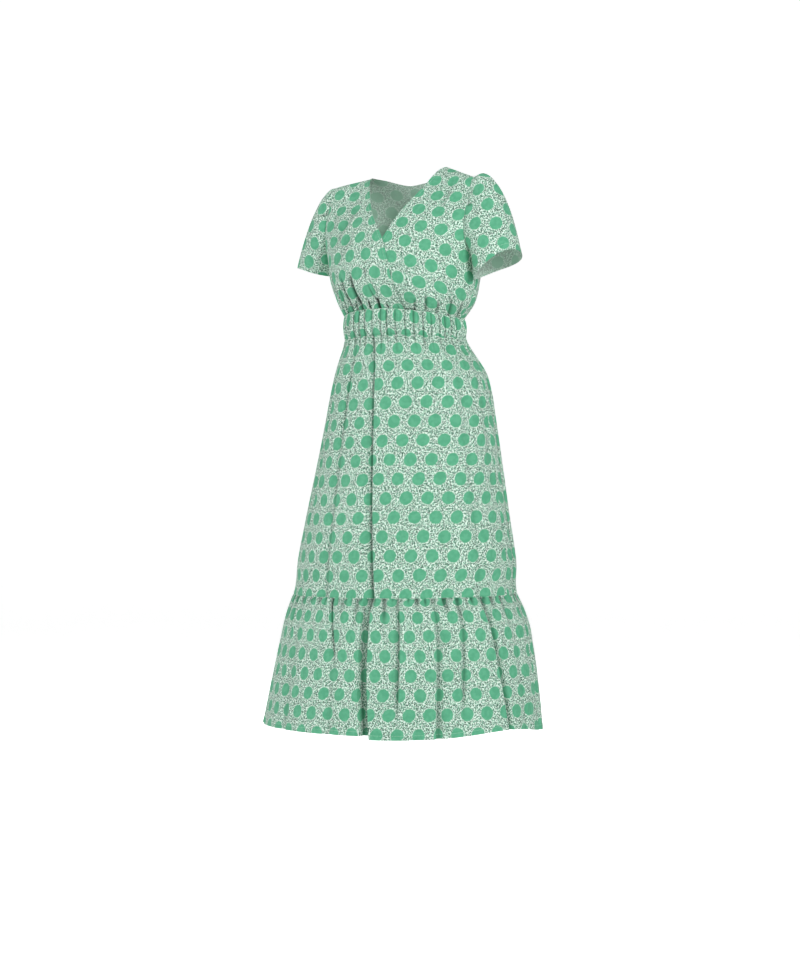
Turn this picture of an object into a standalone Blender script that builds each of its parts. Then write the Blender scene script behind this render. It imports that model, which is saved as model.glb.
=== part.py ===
"""Short-sleeved midi dress: wrap-over bodice, gathered waistband, skirt and flounce.

Metres, +Z up. The dress faces -Y and the wearer's left is +X. The origin is midway between
the shoulders, at the height where the shoulder seams meet the neckline.

Every piece is a wall of cloth. Its outer face is worked out by a function of two shares,
u across the piece and v along it, and the wall is thickened inwards from there.
"""

from collections import namedtuple

import bmesh
import bpy
import numpy as np

# Cloth and seams
WALL = 0.0014
SEAM_GAP = 0.0003
CLOTH = (0.36, 0.62, 0.47, 1.0)
CLOTH_SHADE = (0.30, 0.55, 0.41, 1.0)
CLOTH_ROUGHNESS = 0.85
SHARP_ANGLE = 60.0
TINY = 1e-6                 # shares closer than this count as equal

# Shoulders and neck
NECK_HALF = 0.0866          # from the middle to where a shoulder seam meets the neckline
NECK_SET_BACK = 0.020       # the neck sits this far behind the points of the shoulders
SHOULDER_POINT = 0.162      # from the middle to the top of an armhole
SHOULDER_SLOPE = {"right": 0.23, "left": 0.33}
SLOPE_BLEND = 0.12          # over this width, behind the neck, one slope becomes the other
SHOULDER_TILT = 0.0075      # the wearer's left side of the neck is this much higher
CROWN = 0.010               # rounds the shoulders' line over the middle
BACK_NECK_LEVEL = 6.35      # the level that the back neckline dips to in the middle

# The bodice's form, from the waist seam up. At each level the cloth is an oval ring. The
# ridge column says how far the ring follows the shoulders' slope. The last two columns are
# the x of each front's inner edge: the right front runs over to +X, the left front to -X.
Level = namedtuple("Level", "drop half_width front back ridge shift right_edge left_edge")
TORSO = [
    Level(0.298, 0.131, 0.099, 0.093, 0.00, 0.000, 0.053, -0.040),    # waist seam
    Level(0.266, 0.151, 0.110, 0.098, 0.00, 0.005, 0.050, -0.032),    # ribs
    Level(0.222, 0.164, 0.120, 0.103, 0.00, 0.003, 0.041, -0.020),    # bust
    Level(0.178, 0.169, 0.119, 0.107, 0.00, 0.001, 0.029, -0.006),    # armpit
    Level(0.142, 0.177, 0.110, 0.107, 0.12, 0.000, 0.011, 0.013),     # point of the neckline
    Level(0.098, 0.186, 0.088, 0.098, 0.38, 0.000, -0.027, 0.035),    # upper chest
    Level(0.052, 0.190, 0.055, 0.070, 0.70, 0.000, -0.059, 0.061),    # collarbone
    Level(0.014, 0.190, 0.025, 0.030, 0.93, 0.000, -0.080, 0.078),    # yoke
    Level(0.000, 0.190, 0.000, 0.000, 1.00, 0.000, -0.0866, 0.0866),  # shoulder seam
]
ARMPIT = 3                  # the row of the table at the foot of an armhole
RIDGE = len(TORSO) - 1      # the row at the shoulder seam
WAIST_REACH = 1.6           # the waist seam's curve fades out over this many levels
UPRIGHT_TO = 1.0            # up to this level the wall's thickness lies level with the floor
ROOF_FROM = RIDGE - 1.2     # from this level the thickness turns to point straight up
BUST = {"out": 0.075, "spread": 0.045, "level": 1.9, "rise": 1.0, "depth": 0.007}

# The left front sinks behind the right one near the right one's edge
TUCK = {"clearance": 0.0012, "starts": 0.034, "over": 0.024, "top_level": 5.4, "fades": 1.2}

# The form below the waist seam. The shift column moves the ring towards +X.
Ring = namedtuple("Ring", "drop half_width front back shift")
LOWER = [
    Ring(0.298, 0.1310, 0.099, 0.093, 0.000),     # waist seam
    Ring(0.320, 0.1320, 0.100, 0.095, 0.001),     # middle of the waistband
    Ring(0.343, 0.1325, 0.099, 0.097, 0.002),     # top of the skirt
    Ring(0.362, 0.1390, 0.104, 0.107, 0.005),
    Ring(0.385, 0.1510, 0.113, 0.119, 0.009),
    Ring(0.412, 0.1630, 0.123, 0.130, 0.0135),    # hips
    Ring(0.442, 0.1710, 0.130, 0.137, 0.0145),
    Ring(0.503, 0.1820, 0.139, 0.146, 0.0135),
    Ring(0.586, 0.1970, 0.151, 0.157, 0.011),
    Ring(0.700, 0.2180, 0.168, 0.172, 0.0065),
    Ring(0.791, 0.2340, 0.182, 0.184, 0.004),
    Ring(0.856, 0.2400, 0.187, 0.188, 0.001),     # seam of the flounce
    Ring(0.875, 0.2485, 0.194, 0.195, 0.002),
    Ring(0.907, 0.2605, 0.203, 0.204, 0.003),
    Ring(0.960, 0.2720, 0.212, 0.213, 0.002),
    Ring(1.029, 0.2850, 0.222, 0.222, -0.001),
    Ring(1.125, 0.3005, 0.234, 0.234, -0.007),    # hem
]

# Seams that run round: drop at the sides and back, rise at the centre front, and how much
# lower the wearer's left side is. The hem also swings up in one place.
Seam = namedtuple("Seam", "drop front_rise left_drop swing")
WAIST_SEAM = Seam(0.3005, 0.0185, 0.0000, 0.000)
BAND_SEAM = Seam(0.3425, 0.0075, -0.0025, 0.000)
FLOUNCE_SEAM = Seam(0.8565, 0.0010, -0.0050, 0.000)
HEM = Seam(1.1245, 0.0025, 0.0000, 0.014)
SWING_ANGLE = 74.0
SWING_SPREAD = 24.0

# Armholes: half angles from the middle to the seam, at the foot and at each face's curve
ARMHOLE = {"front": 53.0, "back": 56.0, "foot": 90.0}
ARMHOLE_CENTRE = np.array([0.158, 0.0, -0.098])
ARMHOLE_CURVE = 0.9         # how quickly the seam leaves the foot
ARMHOLE_TURN = 0.45         # the share of the way up where it turns out to the shoulder
ARMHOLE_CLIMB = 0.92
SHOULDER_ANGLE = np.degrees(np.arcsin(SHOULDER_POINT / TORSO[RIDGE].half_width))

# Sleeves: how the head leaves the armhole, and the cuff's ring
Sleeve = namedtuple(
    "Sleeve", "side head_reach head_rise cuff_x cuff_y cuff_drop cuff_slant cuff_twist"
)
SLEEVES = {
    "sleeve_right": Sleeve(-1, 0.125, 6.0, 0.2145, 0.0200, 0.1994, 0.0097, 0.0020),
    "sleeve_left": Sleeve(1, 0.200, 30.0, 0.2165, 0.0000, 0.1965, 0.0267, 0.0055),
}
CUFF_HALF_WIDTH = 0.047
CUFF_HALF_DEPTH = 0.0535
UNDERARM_REACH = 0.040
UNDERARM_RISE = -60.0
CUFF_PULL = {"under": 0.035, "over": 0.140}
CUFF_FLARE = 0.25
SLEEVE_FULLNESS = 0.35      # how far the sleeve swells to the front and back, of its reach
SLEEVE_TURN = 0.16          # the share of its length in which it leaves the armhole's wall

# Gathers: how many to a piece, their depth, how soon they are that deep below or above
# their seam, how far they reach from it (0 for right across), and the number they vary by.
# The waistband's run on into the skirt's, so those two share their depth and their number.
Gather = namedtuple("Gather", "count depth starts length seed")
BAND_GATHERS = Gather(22, 0.0028, 0.007, 0.0, 3)
SKIRT_GATHERS = Gather(22, 0.0028, 0.0, 0.038, 3)
FLOUNCE_GATHERS = Gather(24, 0.0040, 0.007, 0.028, 9)
RIGHT_FRONT_GATHERS = Gather(8, 0.0032, 0.007, 0.036, 5)
LEFT_FRONT_GATHERS = Gather(7, 0.0024, 0.007, 0.026, 12)
BACK_GATHERS = Gather(10, 0.0028, 0.007, 0.030, 17)
SLEEVE_GATHERS = Gather(18, 0.0030, 0.006, 0.024, 21)
SLEEVE_HEAD = (0.33, 0.67)  # the share of the way round that is gathered
SLEEVE_PINCH = 0.22         # how wide a gather is, of the pitch
PINCH = 0.17
LEFT_GATHERED_FROM = 0.42   # the left front is gathered beyond this share of its width
LEFT_GATHERED_OVER = 0.10
PLAIN_EDGE = 0.02
UNEVEN_SPREAD = 0.012       # how far the columns of points bunch, of the width of a piece
UNEVEN_WAVES = 3
FOLD_STARTS = 0.030         # the long folds begin this far below a seam
BAND_BULGE = 0.002

# Long folds: troughs that hang from top to bottom. Angles are degrees from the centre
# front towards the wearer's left; depth and half width are at the fold's deeper end.
Fold = namedtuple("Fold", "top_angle low_angle top_depth low_depth half_width")
SKIRT_FOLDS = [
    Fold(-7.0, 7.8, 0.0040, 0.0055, 0.016),
    Fold(-24.0, -20.0, 0.0035, 0.0030, 0.018),
    Fold(32.0, 36.0, 0.0020, 0.0030, 0.024),
    Fold(74.0, 70.0, 0.0030, 0.0030, 0.022),
    Fold(128.0, 126.0, 0.0035, 0.0060, 0.024),
    Fold(168.0, 170.0, 0.0040, 0.0065, 0.022),
    Fold(206.0, 207.0, 0.0035, 0.0060, 0.024),
    Fold(244.0, 246.0, 0.0030, 0.0040, 0.022),
]
FLOUNCE_FOLDS = [
    Fold(-62.0, -60.0, 0.0010, 0.0050, 0.020),
    Fold(-38.0, -34.0, 0.0010, 0.0045, 0.022),
    Fold(-11.0, -4.0, 0.0030, 0.0050, 0.016),
    Fold(7.5, 8.8, 0.0050, 0.0110, 0.013),
    Fold(21.5, 21.2, 0.0040, 0.0060, 0.014),
    Fold(39.5, 40.5, 0.0035, 0.0080, 0.014),
    Fold(54.0, 53.0, 0.0020, 0.0050, 0.016),
    Fold(69.0, 72.0, 0.0050, 0.0080, 0.014),
    Fold(98.0, 101.0, 0.0020, 0.0090, 0.020),
    Fold(124.0, 125.0, 0.0050, 0.0120, 0.018),
    Fold(149.0, 147.0, 0.0030, 0.0090, 0.018),
    Fold(171.0, 172.0, 0.0050, 0.0130, 0.018),
    Fold(194.0, 196.0, 0.0040, 0.0100, 0.018),
    Fold(219.0, 218.0, 0.0040, 0.0120, 0.018),
    Fold(243.0, 246.0, 0.0030, 0.0080, 0.018),
    Fold(269.5, 271.0, 0.0010, 0.0060, 0.020),
]


# ---------------------------------------------------------------- tables, waves and folds

def read(table, column, at, key=None):
    """Reads one column of a table, along a smooth curve through its rows."""
    values = np.array([getattr(row, column) for row in table])
    keys = np.array([getattr(row, key) for row in table]) if key else np.arange(len(table)) * 1.0
    slopes = np.gradient(values, keys)
    i = np.clip(np.searchsorted(keys, at) - 1, 0, len(keys) - 2)
    step = keys[i + 1] - keys[i]
    s = np.clip((at - keys[i]) / step, 0.0, 1.0)
    start = (1 + 2 * s) * (1 - s) ** 2 * values[i] + s * (1 - s) ** 2 * step * slopes[i]
    end = s * s * (3 - 2 * s) * values[i + 1] - s * s * (1 - s) * step * slopes[i + 1]
    return start + end


def ease(share):
    """Rises smoothly from 0 to 1 as share does."""
    s = np.clip(share, 0.0, 1.0)
    return s * s * (3 - 2 * s)


def blend(a, b, share):
    return a + (b - a) * share


def unit(rows):
    return rows / np.linalg.norm(rows, axis=1, keepdims=True)


def uneven(number):
    """A fixed value from 0 to 1 for each whole number, with no pattern to the eye."""
    return np.modf(np.abs(np.sin(number * 12.9898 + 4.1414)) * 43758.5453)[0]


def gathers(kind, u, away, narrow=PINCH):
    """Depth of pinched gathers across a piece; away is the distance from the seam."""
    wave = np.round(u * kind.count)
    inside = (wave > 0.5) & (wave < kind.count - 0.5)
    pinch = np.exp(-(((u * kind.count - wave) / narrow) ** 2))
    depth = kind.depth * (0.55 + 0.45 * uneven(wave + kind.seed))
    fade = 1.0
    if kind.starts:
        fade = ease(away / kind.starts)
    if kind.length:
        length = kind.length * (0.45 + 1.1 * uneven(wave + kind.seed + 50) ** 2)
        fade = fade * np.exp(-((away / length) ** 2))
    return inside * depth * pinch * fade


def long_folds(folds, angle, share, radius):
    """Depth of hanging folds at an angle in degrees; share is 0 at the top, 1 at the hem."""
    depth = np.zeros_like(angle)
    for fold in folds:
        centre = blend(fold.top_angle, fold.low_angle, share)
        away = (angle - centre + 180.0) % 360.0 - 180.0
        across = np.radians(away) * radius / fold.half_width
        depth += blend(fold.top_depth, fold.low_depth, share) * np.exp(-(across ** 2))
    return depth


# ---------------------------------------------------------------------- the dress's form

def shoulder_line(x):
    """Height and depth of the line of the shoulder seams, at x."""
    slope = blend(SHOULDER_SLOPE["right"], SHOULDER_SLOPE["left"], ease(x / SLOPE_BLEND + 0.5))
    outward = np.sqrt(x ** 2 + CROWN ** 2) - NECK_HALF
    height = SHOULDER_TILT * np.clip(x / NECK_HALF, -1, 1) - slope * outward
    set_back = NECK_SET_BACK * (1 - ease(outward / (SHOULDER_POINT - NECK_HALF)))
    return height, set_back


def front_share(turn):
    """1 at the centre front, falling to 0 at the side seams and behind them."""
    return np.clip(np.cos(turn), 0, 1) ** 1.5


def seam_drop(seam, turn):
    """How far below the origin a level seam runs, at each turn round the dress."""
    away = (np.degrees(turn) - SWING_ANGLE + 180.0) % 360.0 - 180.0
    swing = seam.swing * np.exp(-((away / SWING_SPREAD) ** 2))
    return seam.drop - seam.front_rise * front_share(turn) + seam.left_drop * np.sin(turn) - swing


def bodice_form(turn, level, behind):
    """Points of the bodice's form. turn is the angle from the centre front to +X."""
    width = read(TORSO, "half_width", level)
    depth = np.where(behind, read(TORSO, "back", level), read(TORSO, "front", level))
    ridge = read(TORSO, "ridge", level)
    x = read(TORSO, "shift", level) + width * np.sin(turn)
    height, set_back = shoulder_line(x)
    cup = np.exp(-(((np.abs(x) - BUST["out"]) / BUST["spread"]) ** 2))
    cup = cup * np.exp(-(((level - BUST["level"]) / BUST["rise"]) ** 2)) * ~behind
    y = -depth * np.cos(turn) + ridge * set_back - BUST["depth"] * cup
    fade = np.clip(1 - level / WAIST_REACH, 0, 1)
    rise = (TORSO[0].drop - seam_drop(WAIST_SEAM, turn)) * fade
    z = -read(TORSO, "drop", level) + rise + ridge * height
    return np.stack([x, y, z], axis=1)


def lower_form(turn, drop, behind):
    """Points of the form below the waist seam, at a drop below the origin."""
    deep = np.where(
        behind, read(LOWER, "back", drop, "drop"), read(LOWER, "front", drop, "drop")
    )
    x = read(LOWER, "shift", drop, "drop") + read(LOWER, "half_width", drop, "drop") * np.sin(turn)
    return np.stack([x, -deep * np.cos(turn), -drop], axis=1)


def bodice_way_out(turn, level, behind):
    """The way out of the bodice: level with the floor below the armpits, up at the ridge."""
    step = 1e-3
    low = np.minimum(level, RIDGE - step)
    round_it = bodice_form(turn + step, low, behind) - bodice_form(turn - step, low, behind)
    up_it = bodice_form(turn, low + step, behind) - bodice_form(turn, low - step, behind)
    way = unit(np.cross(round_it, up_it))
    way[:, 2] *= ease((level - UPRIGHT_TO) / (ARMPIT + 1.5))
    at_ridge = ease((level - ROOF_FROM) / (RIDGE - ROOF_FROM))[:, None]
    return unit(blend(way, np.array([[0.0, 0.0, 1.0]]), at_ridge))


# ---------------------------------------------------------------------------- the panels

def armhole_angle(a, face):
    """Half angle of an armhole's seam in degrees; a runs from the armpit to the shoulder."""
    side = blend(ARMHOLE["foot"], ARMHOLE[face], np.sin(a * np.pi / 2) ** ARMHOLE_CURVE)
    turn_out = ease((a - ARMHOLE_TURN) / (1 - ARMHOLE_TURN))
    return side + (SHOULDER_ANGLE - ARMHOLE[face]) * turn_out


def armhole_level(a):
    return ARMPIT + (RIDGE - ARMPIT) * (1 - np.cos(a * np.pi / 2)) ** ARMHOLE_CLIMB


def outer_edge(v, face):
    """Half angle in radians and level of a bodice panel's side seam and armhole."""
    a = np.clip((v - SIDE_SHARE) / (1 - SIDE_SHARE), 0, 1)
    level = np.where(v < SIDE_SHARE, ARMPIT * v / SIDE_SHARE, armhole_level(a))
    return np.radians(armhole_angle(a, face)), level


def armhole_way_out(points):
    """The way out that a bodice panel and a sleeve share along the armhole's seam."""
    side = np.where(points[:, :1] > 0, 1.0, -1.0)
    return unit(points - ARMHOLE_CENTRE * np.hstack([side, side, np.ones_like(side)]))


def part_seams(points, v, behind):
    """Parts a bodice panel from its neighbours at the side, shoulder and waist seams."""
    points[:, 1] += SEAM_GAP / 2 * np.where(behind, 1, -1)
    points[:, 2] += SEAM_GAP / 2 * (v <= 0)
    return points


def front_panel(side, gather, edge_column):
    """Lays a bodice front: u from its inner edge to the side, v from the waist up."""
    def lay(u, v):
        level_in = RIDGE * v
        edge = read(TORSO, edge_column, level_in) - read(TORSO, "shift", level_in)
        turn_in = np.arcsin(edge / read(TORSO, "half_width", level_in))
        angle, level_out = outer_edge(v, "front")
        turn = blend(turn_in, side * angle, u)
        level = blend(level_in, level_out, u)
        behind = np.zeros(len(u), bool)
        points = bodice_form(turn, level, behind)
        way = bodice_way_out(turn, level, behind)
        above = TORSO[0].drop - read(TORSO, "drop", level)
        depth = gathers(gather, u, above) * (u > PLAIN_EDGE)
        if side > 0:
            depth = depth * ease((u - LEFT_GATHERED_FROM) / LEFT_GATHERED_OVER)
            depth = depth + tuck_under(points[:, 0], level)
        at_armhole = (v >= SIDE_SHARE) & (u >= 1 - TINY)
        way = np.where(at_armhole[:, None], armhole_way_out(points), way)
        return part_seams(points - way * depth[:, None], v, behind), way
    return lay


def tuck_under(x, level):
    """How far the left front sinks to pass behind the right front's edge."""
    edge = read(TORSO, "right_edge", level)
    gathered = np.clip(1 - level / BUST["level"], 0, 1)
    clearance = TUCK["clearance"] + RIGHT_FRONT_GATHERS.depth * gathered
    near = ease((edge + TUCK["starts"] - x) / TUCK["over"])
    return (WALL + clearance) * near * ease((TUCK["top_level"] - level) / TUCK["fades"])


def back_panel(u, v):
    """Lays the bodice's back: u from +X across to -X, v from the waist up."""
    across = 1 - 2 * u
    half = np.abs(across)
    angle, level_out = outer_edge(v, "back")
    neck_angle = np.degrees(np.arcsin(NECK_HALF / TORSO[RIDGE].half_width))
    neck_share = neck_angle / SHOULDER_ANGLE
    past_neck = (half - NECK_COLUMN) / (1 - NECK_COLUMN)
    at_top = np.where(
        half < NECK_COLUMN, neck_share * half / NECK_COLUMN, blend(neck_share, 1, past_neck)
    )
    spread = blend(half, at_top, ease(v))
    turn = np.pi - np.sign(across) * spread * angle
    dip = np.sqrt(np.clip(1 - (half / NECK_COLUMN) ** 2, 0, 1))
    top = blend(RIDGE, BACK_NECK_LEVEL, dip)
    level = blend(top * v, level_out, half ** 2)
    level = np.where(v >= 1, top, level)
    behind = np.ones(len(u), bool)
    points = bodice_form(turn, level, behind)
    way = bodice_way_out(turn, level, behind)
    above = TORSO[0].drop - read(TORSO, "drop", level)
    depth = gathers(BACK_GATHERS, u, above)
    at_armhole = (v >= SIDE_SHARE) & (half >= 1 - TINY)
    way = np.where(at_armhole[:, None], armhole_way_out(points), way)
    return part_seams(points - way * depth[:, None], v, behind), way


def lower_panel(behind, top_seam, low_seam, gather, folds, folds_above=(), bulge=0.0):
    """Lays a piece below the waist: u round it from one side seam to the other, v down.

    Its top edge keeps to the folds that the piece above it has at their seam.
    """
    def lay(u, v):
        start = np.pi / 2 if behind else -np.pi / 2
        bunched = UNEVEN_SPREAD * np.sin(2 * np.pi * UNEVEN_WAVES * u) * np.sin(np.pi * u)
        turn = start + np.pi * (u + bunched)
        top = seam_drop(top_seam, turn) + SEAM_GAP / 2
        low = seam_drop(low_seam, turn) - SEAM_GAP / 2 * (low_seam is not HEM)
        drop = blend(top, low, v)
        is_back = np.full(len(u), behind)
        points = lower_form(turn, drop, is_back)
        way = np.stack([np.sin(turn), -np.cos(turn), 0 * turn], axis=1)
        radius = read(LOWER, "half_width", drop, "drop")
        depth = gathers(gather, u, drop - top) - bulge * np.sin(np.pi * v)
        above = long_folds(folds_above, np.degrees(turn), 1.0, radius)
        below = long_folds(folds, np.degrees(turn), v, radius)
        depth = depth + blend(above, below, ease((drop - top) / FOLD_STARTS))
        points = points - way * depth[:, None]
        points[:, 1] += SEAM_GAP / 2 if behind else -SEAM_GAP / 2
        return points, way
    return lay


def sleeve_panel(sleeve):
    """Lays a sleeve: u once round from the armpit by the front, v from armhole to cuff."""
    side = sleeve.side

    def armhole_point(a, face):
        """The seam between the bodice's rows, so that both pieces keep to one line."""
        rows = ROWS_AT_ARMHOLE
        low = np.floor(np.clip(a * rows, 0, rows - TINY))
        ends = []
        for k in (low, low + 1):
            turn = np.radians(armhole_angle(k / rows, face))
            turn = side * turn if face == "front" else np.pi - side * turn
            behind = np.full(len(a), face == "back")
            point = bodice_form(turn, armhole_level(k / rows), behind)
            point[:, 1] += SEAM_GAP / 2 if face == "back" else -SEAM_GAP / 2
            ends.append(point)
        return blend(ends[0], ends[1], (a * rows - low)[:, None])

    def surface(u, v):
        at_front = (u <= 0.5)[:, None]
        a = np.where(u <= 0.5, 2 * u, 2 - 2 * u)
        start = np.where(at_front, armhole_point(a, "front"), armhole_point(a, "back"))
        start[:, 1] *= (a > 0) & (a < 1)
        over = (1 - np.cos(2 * np.pi * u)) / 2
        rise = np.radians(blend(UNDERARM_RISE, sleeve.head_rise, over))
        reach = blend(UNDERARM_REACH, sleeve.head_reach, over ** 1.5)
        fullness = -SLEEVE_FULLNESS * np.sin(2 * np.pi * u) * reach
        leave = np.stack([side * reach * np.cos(rise), fullness, reach * np.sin(rise)], axis=1)
        round_cuff = 2 * np.pi * u
        cuff = np.stack([
            side * (sleeve.cuff_x - CUFF_HALF_WIDTH * np.cos(round_cuff)),
            sleeve.cuff_y - CUFF_HALF_DEPTH * np.sin(round_cuff),
            -sleeve.cuff_drop - sleeve.cuff_slant * np.cos(round_cuff)
            - sleeve.cuff_twist * np.sin(2 * round_cuff),
        ], axis=1)
        pull = blend(CUFF_PULL["under"], CUFF_PULL["over"], over)
        arrive = np.stack([side * CUFF_FLARE * pull, 0 * pull, -pull], axis=1)
        s = v[:, None]
        points = (1 + 2 * s) * (1 - s) ** 2 * (start + SEAM_GAP * unit(leave))
        points += s * (1 - s) ** 2 * leave + s * s * (3 - 2 * s) * cuff
        return points - s * s * (1 - s) * arrive

    def lay(u, v):
        step = 1e-3
        points = surface(u, v)
        round_it = surface((u + step) % 1.0, v) - surface((u - step) % 1.0, v)
        low = np.clip(v, step, 1 - step)
        along = surface(u, low + step) - surface(u, low - step)
        shared = armhole_way_out(surface(u, 0 * v))
        way = side * unit(np.cross(along, round_it))
        way = unit(blend(shared, way, ease(v / SLEEVE_TURN)[:, None]))
        head = (u > SLEEVE_HEAD[0]) & (u < SLEEVE_HEAD[1])
        down = v * sleeve.cuff_drop
        depth = gathers(SLEEVE_GATHERS, u, down, narrow=SLEEVE_PINCH) * head
        return points - way * depth[:, None], way

    return lay


# ---------------------------------------------------------------------- making the walls

def cloth_material(name, colour):
    material = bpy.data.materials.new(name)
    material.use_nodes = True
    shader = material.node_tree.nodes["Principled BSDF"]
    shader.inputs["Base Color"].default_value = colour
    shader.inputs["Roughness"].default_value = CLOTH_ROUGHNESS
    return material


def cloth(name, colour, lay, columns, rows, fine_rows=None, closed=False):
    """Makes one piece of cloth as a wall laid by lay(u, v).

    rows holds the share v of each row of points. Below fine_rows every second column is
    left out. A closed piece is sewn to itself where u comes round to its start.
    """
    bm = bmesh.new()
    bmesh.ops.create_grid(bm, x_segments=columns, y_segments=len(rows) - 1, size=0.5)
    across = bm.verts.layers.float.new("across")
    along = bm.verts.layers.float.new("along")
    for vert in bm.verts:
        vert[across] = vert.co.x + 0.5
        vert[along] = rows[round((vert.co.y + 0.5) * (len(rows) - 1))]
    if fine_rows is not None:
        thin_out(bm, across, along, columns, rows[fine_rows])
    if closed:
        starts = {round(v[along], 6): v for v in bm.verts if v[across] < TINY}
        ends = [v for v in bm.verts if v[across] > 1 - TINY]
        bmesh.ops.weld_verts(bm, targetmap={v: starts[round(v[along], 6)] for v in ends})
    outside = bmesh.ops.extrude_face_region(bm, geom=bm.faces[:])["geom"]
    outside = {g for g in outside if isinstance(g, bmesh.types.BMVert)}
    verts = list(bm.verts)
    u = np.array([vert[across] for vert in verts])
    v = np.array([vert[along] for vert in verts])
    inward = np.array([0.0 if vert in outside else WALL for vert in verts])
    points, way = lay(u, v)
    for vert, place in zip(verts, points - way * inward[:, None]):
        vert.co = place
    if bm.calc_volume(signed=True) < 0:
        bmesh.ops.reverse_faces(bm, faces=bm.faces[:])
    mesh = bpy.data.meshes.new(name)
    bm.to_mesh(mesh)
    bm.free()
    mesh.shade_smooth()
    mesh.set_sharp_from_angle(angle=np.radians(SHARP_ANGLE))
    mesh.materials.append(cloth_material(name + "_cloth", colour))
    piece = bpy.data.objects.new(name, mesh)
    bpy.context.scene.collection.objects.link(piece)
    return piece


def thin_out(bm, across, along, columns, start):
    """Takes out every second column of edges beyond the row at start."""
    spare = []
    for edge in bm.edges:
        a, b = edge.verts
        column = round(a[across] * columns)
        upright = abs(a[across] - b[across]) < TINY
        if upright and column % 2 and min(a[along], b[along]) > start - TINY:
            spare.append(edge)
    bmesh.ops.dissolve_edges(bm, edges=spare, use_verts=True)


# ------------------------------------------------------------------------------ the dress

# Rows of points. The bodice's side seam takes its first rows, and the armhole the rest.
SIDE_ROWS = 4
ROWS_AT_ARMHOLE = 9
BODICE_ROWS = np.insert(np.linspace(0, 1, SIDE_ROWS + ROWS_AT_ARMHOLE + 1), 1, 0.027)
SIDE_SHARE = SIDE_ROWS / (SIDE_ROWS + ROWS_AT_ARMHOLE)
NECK_COLUMN = 7 / 15        # how far out across the back the neckline ends
BAND_ROWS = np.array([0, 0.18, 0.60, 1.0])
SKIRT_ROWS = np.array([0, 0.035, 0.085, 0.16, 0.25, 0.37, 0.49, 0.61, 0.73, 0.87, 1.0])
FLOUNCE_ROWS = np.array([0, 0.027, 0.08, 0.16, 0.30, 0.48, 0.66, 0.83, 1.0])
SLEEVE_ROWS = np.array([0, 0.035, 0.10, 0.24, 0.40, 0.58, 0.78, 1.0])


def build_dress():
    for old in list(bpy.data.objects):
        bpy.data.objects.remove(old)

    right_front = front_panel(-1, RIGHT_FRONT_GATHERS, "right_edge")
    left_front = front_panel(1, LEFT_FRONT_GATHERS, "left_edge")
    cloth("bodice_front_right", CLOTH, right_front, 24, BODICE_ROWS)
    cloth("bodice_front_left", CLOTH_SHADE, left_front, 21, BODICE_ROWS)
    cloth("bodice_back", CLOTH, back_panel, 30, BODICE_ROWS)

    for name, sleeve in SLEEVES.items():
        cloth(name, CLOTH_SHADE, sleeve_panel(sleeve), 36, SLEEVE_ROWS, closed=True)

    for face, behind in (("front", False), ("back", True)):
        band = lower_panel(behind, WAIST_SEAM, BAND_SEAM, BAND_GATHERS, [], bulge=BAND_BULGE)
        skirt = lower_panel(behind, BAND_SEAM, FLOUNCE_SEAM, SKIRT_GATHERS, SKIRT_FOLDS)
        flounce = lower_panel(
            behind, FLOUNCE_SEAM, HEM, FLOUNCE_GATHERS, FLOUNCE_FOLDS, folds_above=SKIRT_FOLDS
        )
        cloth("waistband_" + face, CLOTH_SHADE, band, 66, BAND_ROWS)
        cloth("skirt_" + face, CLOTH, skirt, 66, SKIRT_ROWS, fine_rows=2)
        cloth("flounce_" + face, CLOTH_SHADE, flounce, 72, FLOUNCE_ROWS, fine_rows=3)


build_dress()
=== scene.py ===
"""A short-sleeved wrap-over midi dress in spotted cotton, holding its worn, hollow form.

Metres, +Z up. The dress faces -Y, the wearer's left is +X, and the origin is midway between
the shoulders where their seams meet the neckline.
"""

from collections import namedtuple

import bmesh
import bpy
import numpy as np
from mathutils import Matrix


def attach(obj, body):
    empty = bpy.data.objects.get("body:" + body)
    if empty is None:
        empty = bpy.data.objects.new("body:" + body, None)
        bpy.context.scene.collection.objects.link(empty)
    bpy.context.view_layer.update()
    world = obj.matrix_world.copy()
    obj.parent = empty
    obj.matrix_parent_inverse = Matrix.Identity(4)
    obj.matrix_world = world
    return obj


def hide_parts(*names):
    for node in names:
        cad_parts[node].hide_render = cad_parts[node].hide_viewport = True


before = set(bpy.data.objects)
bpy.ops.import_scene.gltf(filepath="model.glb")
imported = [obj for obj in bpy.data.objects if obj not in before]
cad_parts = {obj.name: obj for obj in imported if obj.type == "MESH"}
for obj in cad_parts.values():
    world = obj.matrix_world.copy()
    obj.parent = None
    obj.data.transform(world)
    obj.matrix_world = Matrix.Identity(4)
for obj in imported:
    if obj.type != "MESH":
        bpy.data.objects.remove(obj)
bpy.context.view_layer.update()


# -------------------- camera
# A long lens at waist height, turned 31 degrees towards the wearer's left, so that the
# front shows with the left sleeve nearer.

PICTURE = (800, 978)
EYE_TURN = np.radians(31.0)
EYE_AWAY = 5.3
EYE_DROP = 0.497
EYE_FOCUS = 2611.0           # in pixels, where the picture is 978 high
MIDDLE = (404.5, 416.0)      # where the dress's axis and the eye's level fall in the picture


def show(name, data):
    """Puts an object into the scene."""
    shown = bpy.data.objects.new(name, data)
    bpy.context.scene.collection.objects.link(shown)
    return shown


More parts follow.
